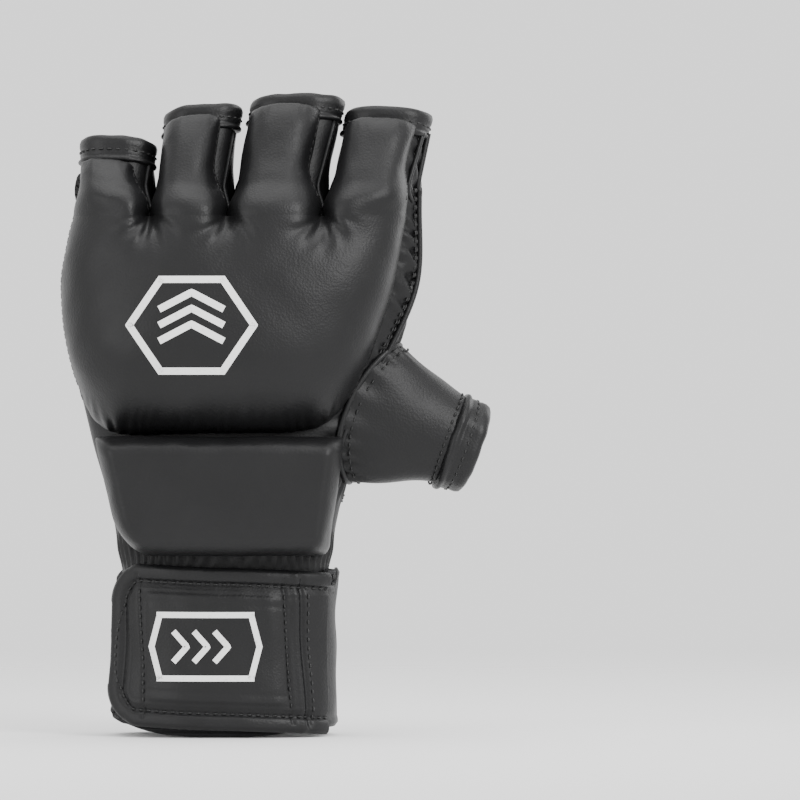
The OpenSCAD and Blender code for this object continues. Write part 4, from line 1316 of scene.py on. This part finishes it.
inset = 6.2
h = STRAP_HALF - inset
rim = [(STRAP_REACH - 1, -h), (STRAP_REACH * 0.5, -h), (END_R + 4, -h)]
arc_r = END_R - inset
for a in np.radians(np.arange(-90, -5, 17)):
    rim.append((END_R - arc_r * math.cos(a), -(STRAP_HALF - END_R) + arc_r * math.sin(a)))
for a in np.radians(np.arange(5, 91, 17)):
    rim.append((END_R - arc_r * math.cos(a), (STRAP_HALF - END_R) + arc_r * math.sin(a)))
rim += [(END_R + 4, h), (STRAP_REACH * 0.5, h), (STRAP_REACH - 1, h)]
strap_row("strap_rim_stitches", rim)
strap_row("strap_left_stitches", [(left_row + 2.0, -20), (left_row, 0), (left_row - 2.0, 20)])
strap_row("strap_right_stitches", [(right_row + 2.0, -20), (right_row, 0), (right_row - 2.0, 20)])
strap_row("strap_right_stitches_b", [(right_row + 14.6, -24), (right_row + 12.4, 0), (right_row + 10.4, 24)])

ht, hz = grid_of(np.linspace(0.18, 0.61, 60), np.linspace(-0.74, 0.74, 30))
hook = strap_point(ht, hz, STRAP_IN - 0.1)
hook_tape = thicken(skin("hook_tape", hook, HOOK_TAPE), 0.7, 1.0)
piece(hook_tape, "strap")
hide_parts("hook_fastener")
lt, lz = grid_of(np.linspace(218, 320, 80), np.linspace(band_low[2] + 7, band_high[2] - 7, 40))
loop = hand(lt, lz, 1.0)
loop_tape = thicken(skin("loop_tape", loop, LOOP_PILE), 0.7, -1.0)
piece(loop_tape)
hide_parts("loop_fastener")

# The cuff's hem: a folded strip of lining around the rim, with a light stitch row
t = np.arange(0, 360, 2.0)
profile = [(-2.2, 9.0), (-2.6, 5.0), (-2.6, 1.6), (-2.0, 0.35), (-0.8, 0.0), (0.5, 0.1), (1.3, 0.6), (1.5, 1.6),
           (1.4, 4.0), (1.5, 6.0), (1.1, 7.2), (0.2, 7.6)]
arch = 6.5 * np.abs(np.cos(np.radians(t))) ** 2.4
rim_g = np.stack([hand(t, z + arch * (1 - z / 10), d) for d, z in profile], axis=1)
rim_g = rim_g + grid_normals(rim_g, True) * (0.22 * ripples(rim_g, 12, 97))[..., None] * np.array(
    [0 if z < 1 else 1 for _, z in profile])[None, :, None]
rim_hem = skin("cuff_rim_fold", rim_g, RIBBED_LINING, True)
piece(rim_hem)
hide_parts("cuff_rim_hem")
path, ups = row_on(hand, t, 3.0 + arch * 0.7, low=1.55, high=3)
rim_palm = t < 180
for name, use, thread in (("cuff_rim_stitches", rim_palm, PALE_THREAD),
                          ("cuff_rim_stitches_back", ~rim_palm, THREAD)):
    piece(stitches(name, path[use], ups[use], thread, pitch=3.6, length=1.8, r=0.32))


# ---------------------------------------------------------------- printed marks

def mark(name, tree, strokes, place, width, body):
    """A printed mark of straight strokes; place turns mark coordinates into x and z."""
    for i, stroke in enumerate(strokes):
        pts = np.array([place(*p) for p in stroke])
        run = np.concatenate([[0], np.cumsum(np.linalg.norm(np.diff(pts, axis=0), axis=1))])
        at = np.unique(np.concatenate([np.arange(0, run[-1], 1.0), run]))
        xz = np.stack([np.interp(at, run, pts[:, k]) for k in (0, 1)], axis=1)
        d = np.gradient(xz, axis=0)
        d /= np.linalg.norm(d, axis=1, keepdims=True)
        n = np.stack([-d[:, 1], d[:, 0]], axis=1)
        cols = []
        for s in np.linspace(-1, 1, 5):
            cols.append(drape(tree, xz + n * s * width / 2, -1, 0.10)[0])
        piece(skin(f"{name}_{i}", np.stack(cols, axis=1), INK), body=body)


def polygon_strokes(points, overlap=0.035):
    """The sides of a polygon, each a little longer than its corners so that they meet."""
    strokes = []
    for a, b in zip(points, points[1:] + points[:1]):
        a, b = np.array(a), np.array(b)
        reach = (b - a) * overlap
        strokes.append([tuple(a - reach), tuple(b + reach)])
    return strokes


hexagon = [(math.cos(math.radians(a)), math.sin(math.radians(a))) for a in range(0, 360, 60)]
strokes = polygon_strokes(hexagon)
strokes += [[(-0.52, -0.30), (0, 0.02), (0.52, -0.30)], [(-0.52, 0.0), (0, 0.32), (0.52, 0.0)],
            [(-0.52, 0.30), (0, 0.62), (0.52, 0.30)]]
mark_x = mix(knuckle_low[0], knuckle_high[0], 0.375)
mark_z = mix(knuckle_low[2], ROOT_Z, 0.435)
mark("pad_mark", pad_tree, strokes, lambda x, y: (mark_x + 23 * x, mark_z + 19.5 * y), 2.6, "hand")
strap_mark = polygon_strokes([(-1.0, -0.62), (1.0, -0.62), (1.18, 0), (1.0, 0.62), (-1.0, 0.62), (-1.18, 0)])
strap_mark += [[(-0.7, -0.3), (-0.4, 0), (-0.7, 0.3)], [(-0.25, -0.3), (0.05, 0), (-0.25, 0.3)],
               [(0.2, -0.3), (0.5, 0), (0.2, 0.3)]]
smx = mix(strap_low[0], strap_high[0], 0.45)
mark("strap_mark", strap_tree, strap_mark, lambda x, y: (smx + 17 * x, MIDDLE_Z + 1 + 19 * y), 2.2, "strap")


# ---------------------------------------------------------------- studio and camera

def area_light(name, place, aim, size, energy, colour=(1, 1, 1)):
    light = bpy.data.lights.new(name, "AREA")
    light.shape = "RECTANGLE"
    light.size, light.size_y = size
    light.energy = energy
    light.color = colour
    obj = bpy.data.objects.new(name, light)
    obj.location = place
    direction = Vector(aim) - Vector(place)
    obj.rotation_euler = direction.to_track_quat("-Z", "Y").to_euler()
    bpy.context.scene.collection.objects.link(obj)
    return obj


floor_mat, floor_tree, floor_shader = new_material("studio_floor")
floor_fade = floor_tree.nodes.new("ShaderNodeTexGradient")
floor_fade.gradient_type = "SPHERICAL"
floor_place = floor_tree.nodes.new("ShaderNodeMapping")
floor_place.inputs["Scale"].default_value = (1.15, 1.15, 1.15)
floor_tree.links.new(floor_tree.nodes.new("ShaderNodeTexCoord").outputs["Object"], floor_place.inputs["Vector"])
floor_tree.links.new(floor_place.outputs["Vector"], floor_fade.inputs["Vector"])
floor_tree.links.new(floor_fade.outputs["Fac"], floor_shader.inputs["Alpha"])
speck = node(floor_tree, "ShaderNodeTexNoise", Scale=3.0, Detail=2.0)
tone = floor_tree.nodes.new("ShaderNodeValToRGB")
tone.color_ramp.elements[0].color = (0.86, 0.86, 0.86, 1)
tone.color_ramp.elements[1].color = (0.90, 0.90, 0.90, 1)
floor_tree.links.new(speck.outputs["Fac"], tone.inputs["Fac"])
floor_tree.links.new(tone.outputs["Color"], floor_shader.inputs["Base Color"])
floor_shader.inputs["Roughness"].default_value = 0.8
floor = make_object("studio_floor", [(-3000, -3200, 0), (3000, -3200, 0), (3000, 3000, 0), (-3000, 3000, 0)],
                    [(0, 1, 2, 3)], floor_mat, False)
lights = [
    area_light("key", (0.75, -0.85, 0.75), (0.02, 0, 0.12), (0.5, 0.9), 14),
    area_light("fill", (-0.9, -0.9, 0.35), (0.02, 0, 0.12), (0.9, 1.1), 6),
    area_light("top", (0.0, -0.1, 1.3), (0.02, 0, 0.1), (1.0, 1.0), 9),
    area_light("rim", (0.8, 0.6, 0.5), (0.02, 0, 0.12), (0.5, 0.9), 3),
]
world = bpy.data.worlds.new("studio")
world.use_nodes = True
world.node_tree.nodes["Background"].inputs["Color"].default_value = (1.0, 1.0, 1.0, 1)
world.node_tree.nodes["Background"].inputs["Strength"].default_value = 1.45
bpy.context.scene.world = world

# Millimetres: the picture's width where the glove stands, and the camera's sensor and lens
PICTURE_WIDTH, SENSOR, LENS = 300.0, 36, 300
low, high = (np.array(v) / MM for v in cad_bounds)
camera_data = bpy.data.cameras.new("camera")
camera_data.sensor_width = SENSOR
camera_data.lens = LENS
camera = bpy.data.objects.new("camera", camera_data)
aim = np.array([low[0] + 125.0, (low[1] + high[1]) / 2, (low[2] + high[2]) / 2 + 6.0])
distance = PICTURE_WIDTH / SENSOR * LENS - 8
camera.location = Vector(((aim + [0, -distance, 0]) * MM).tolist())
camera.rotation_euler = (math.pi / 2, 0, 0)
camera_data.clip_end = 50
bpy.context.scene.collection.objects.link(camera)
bpy.context.scene.camera = camera
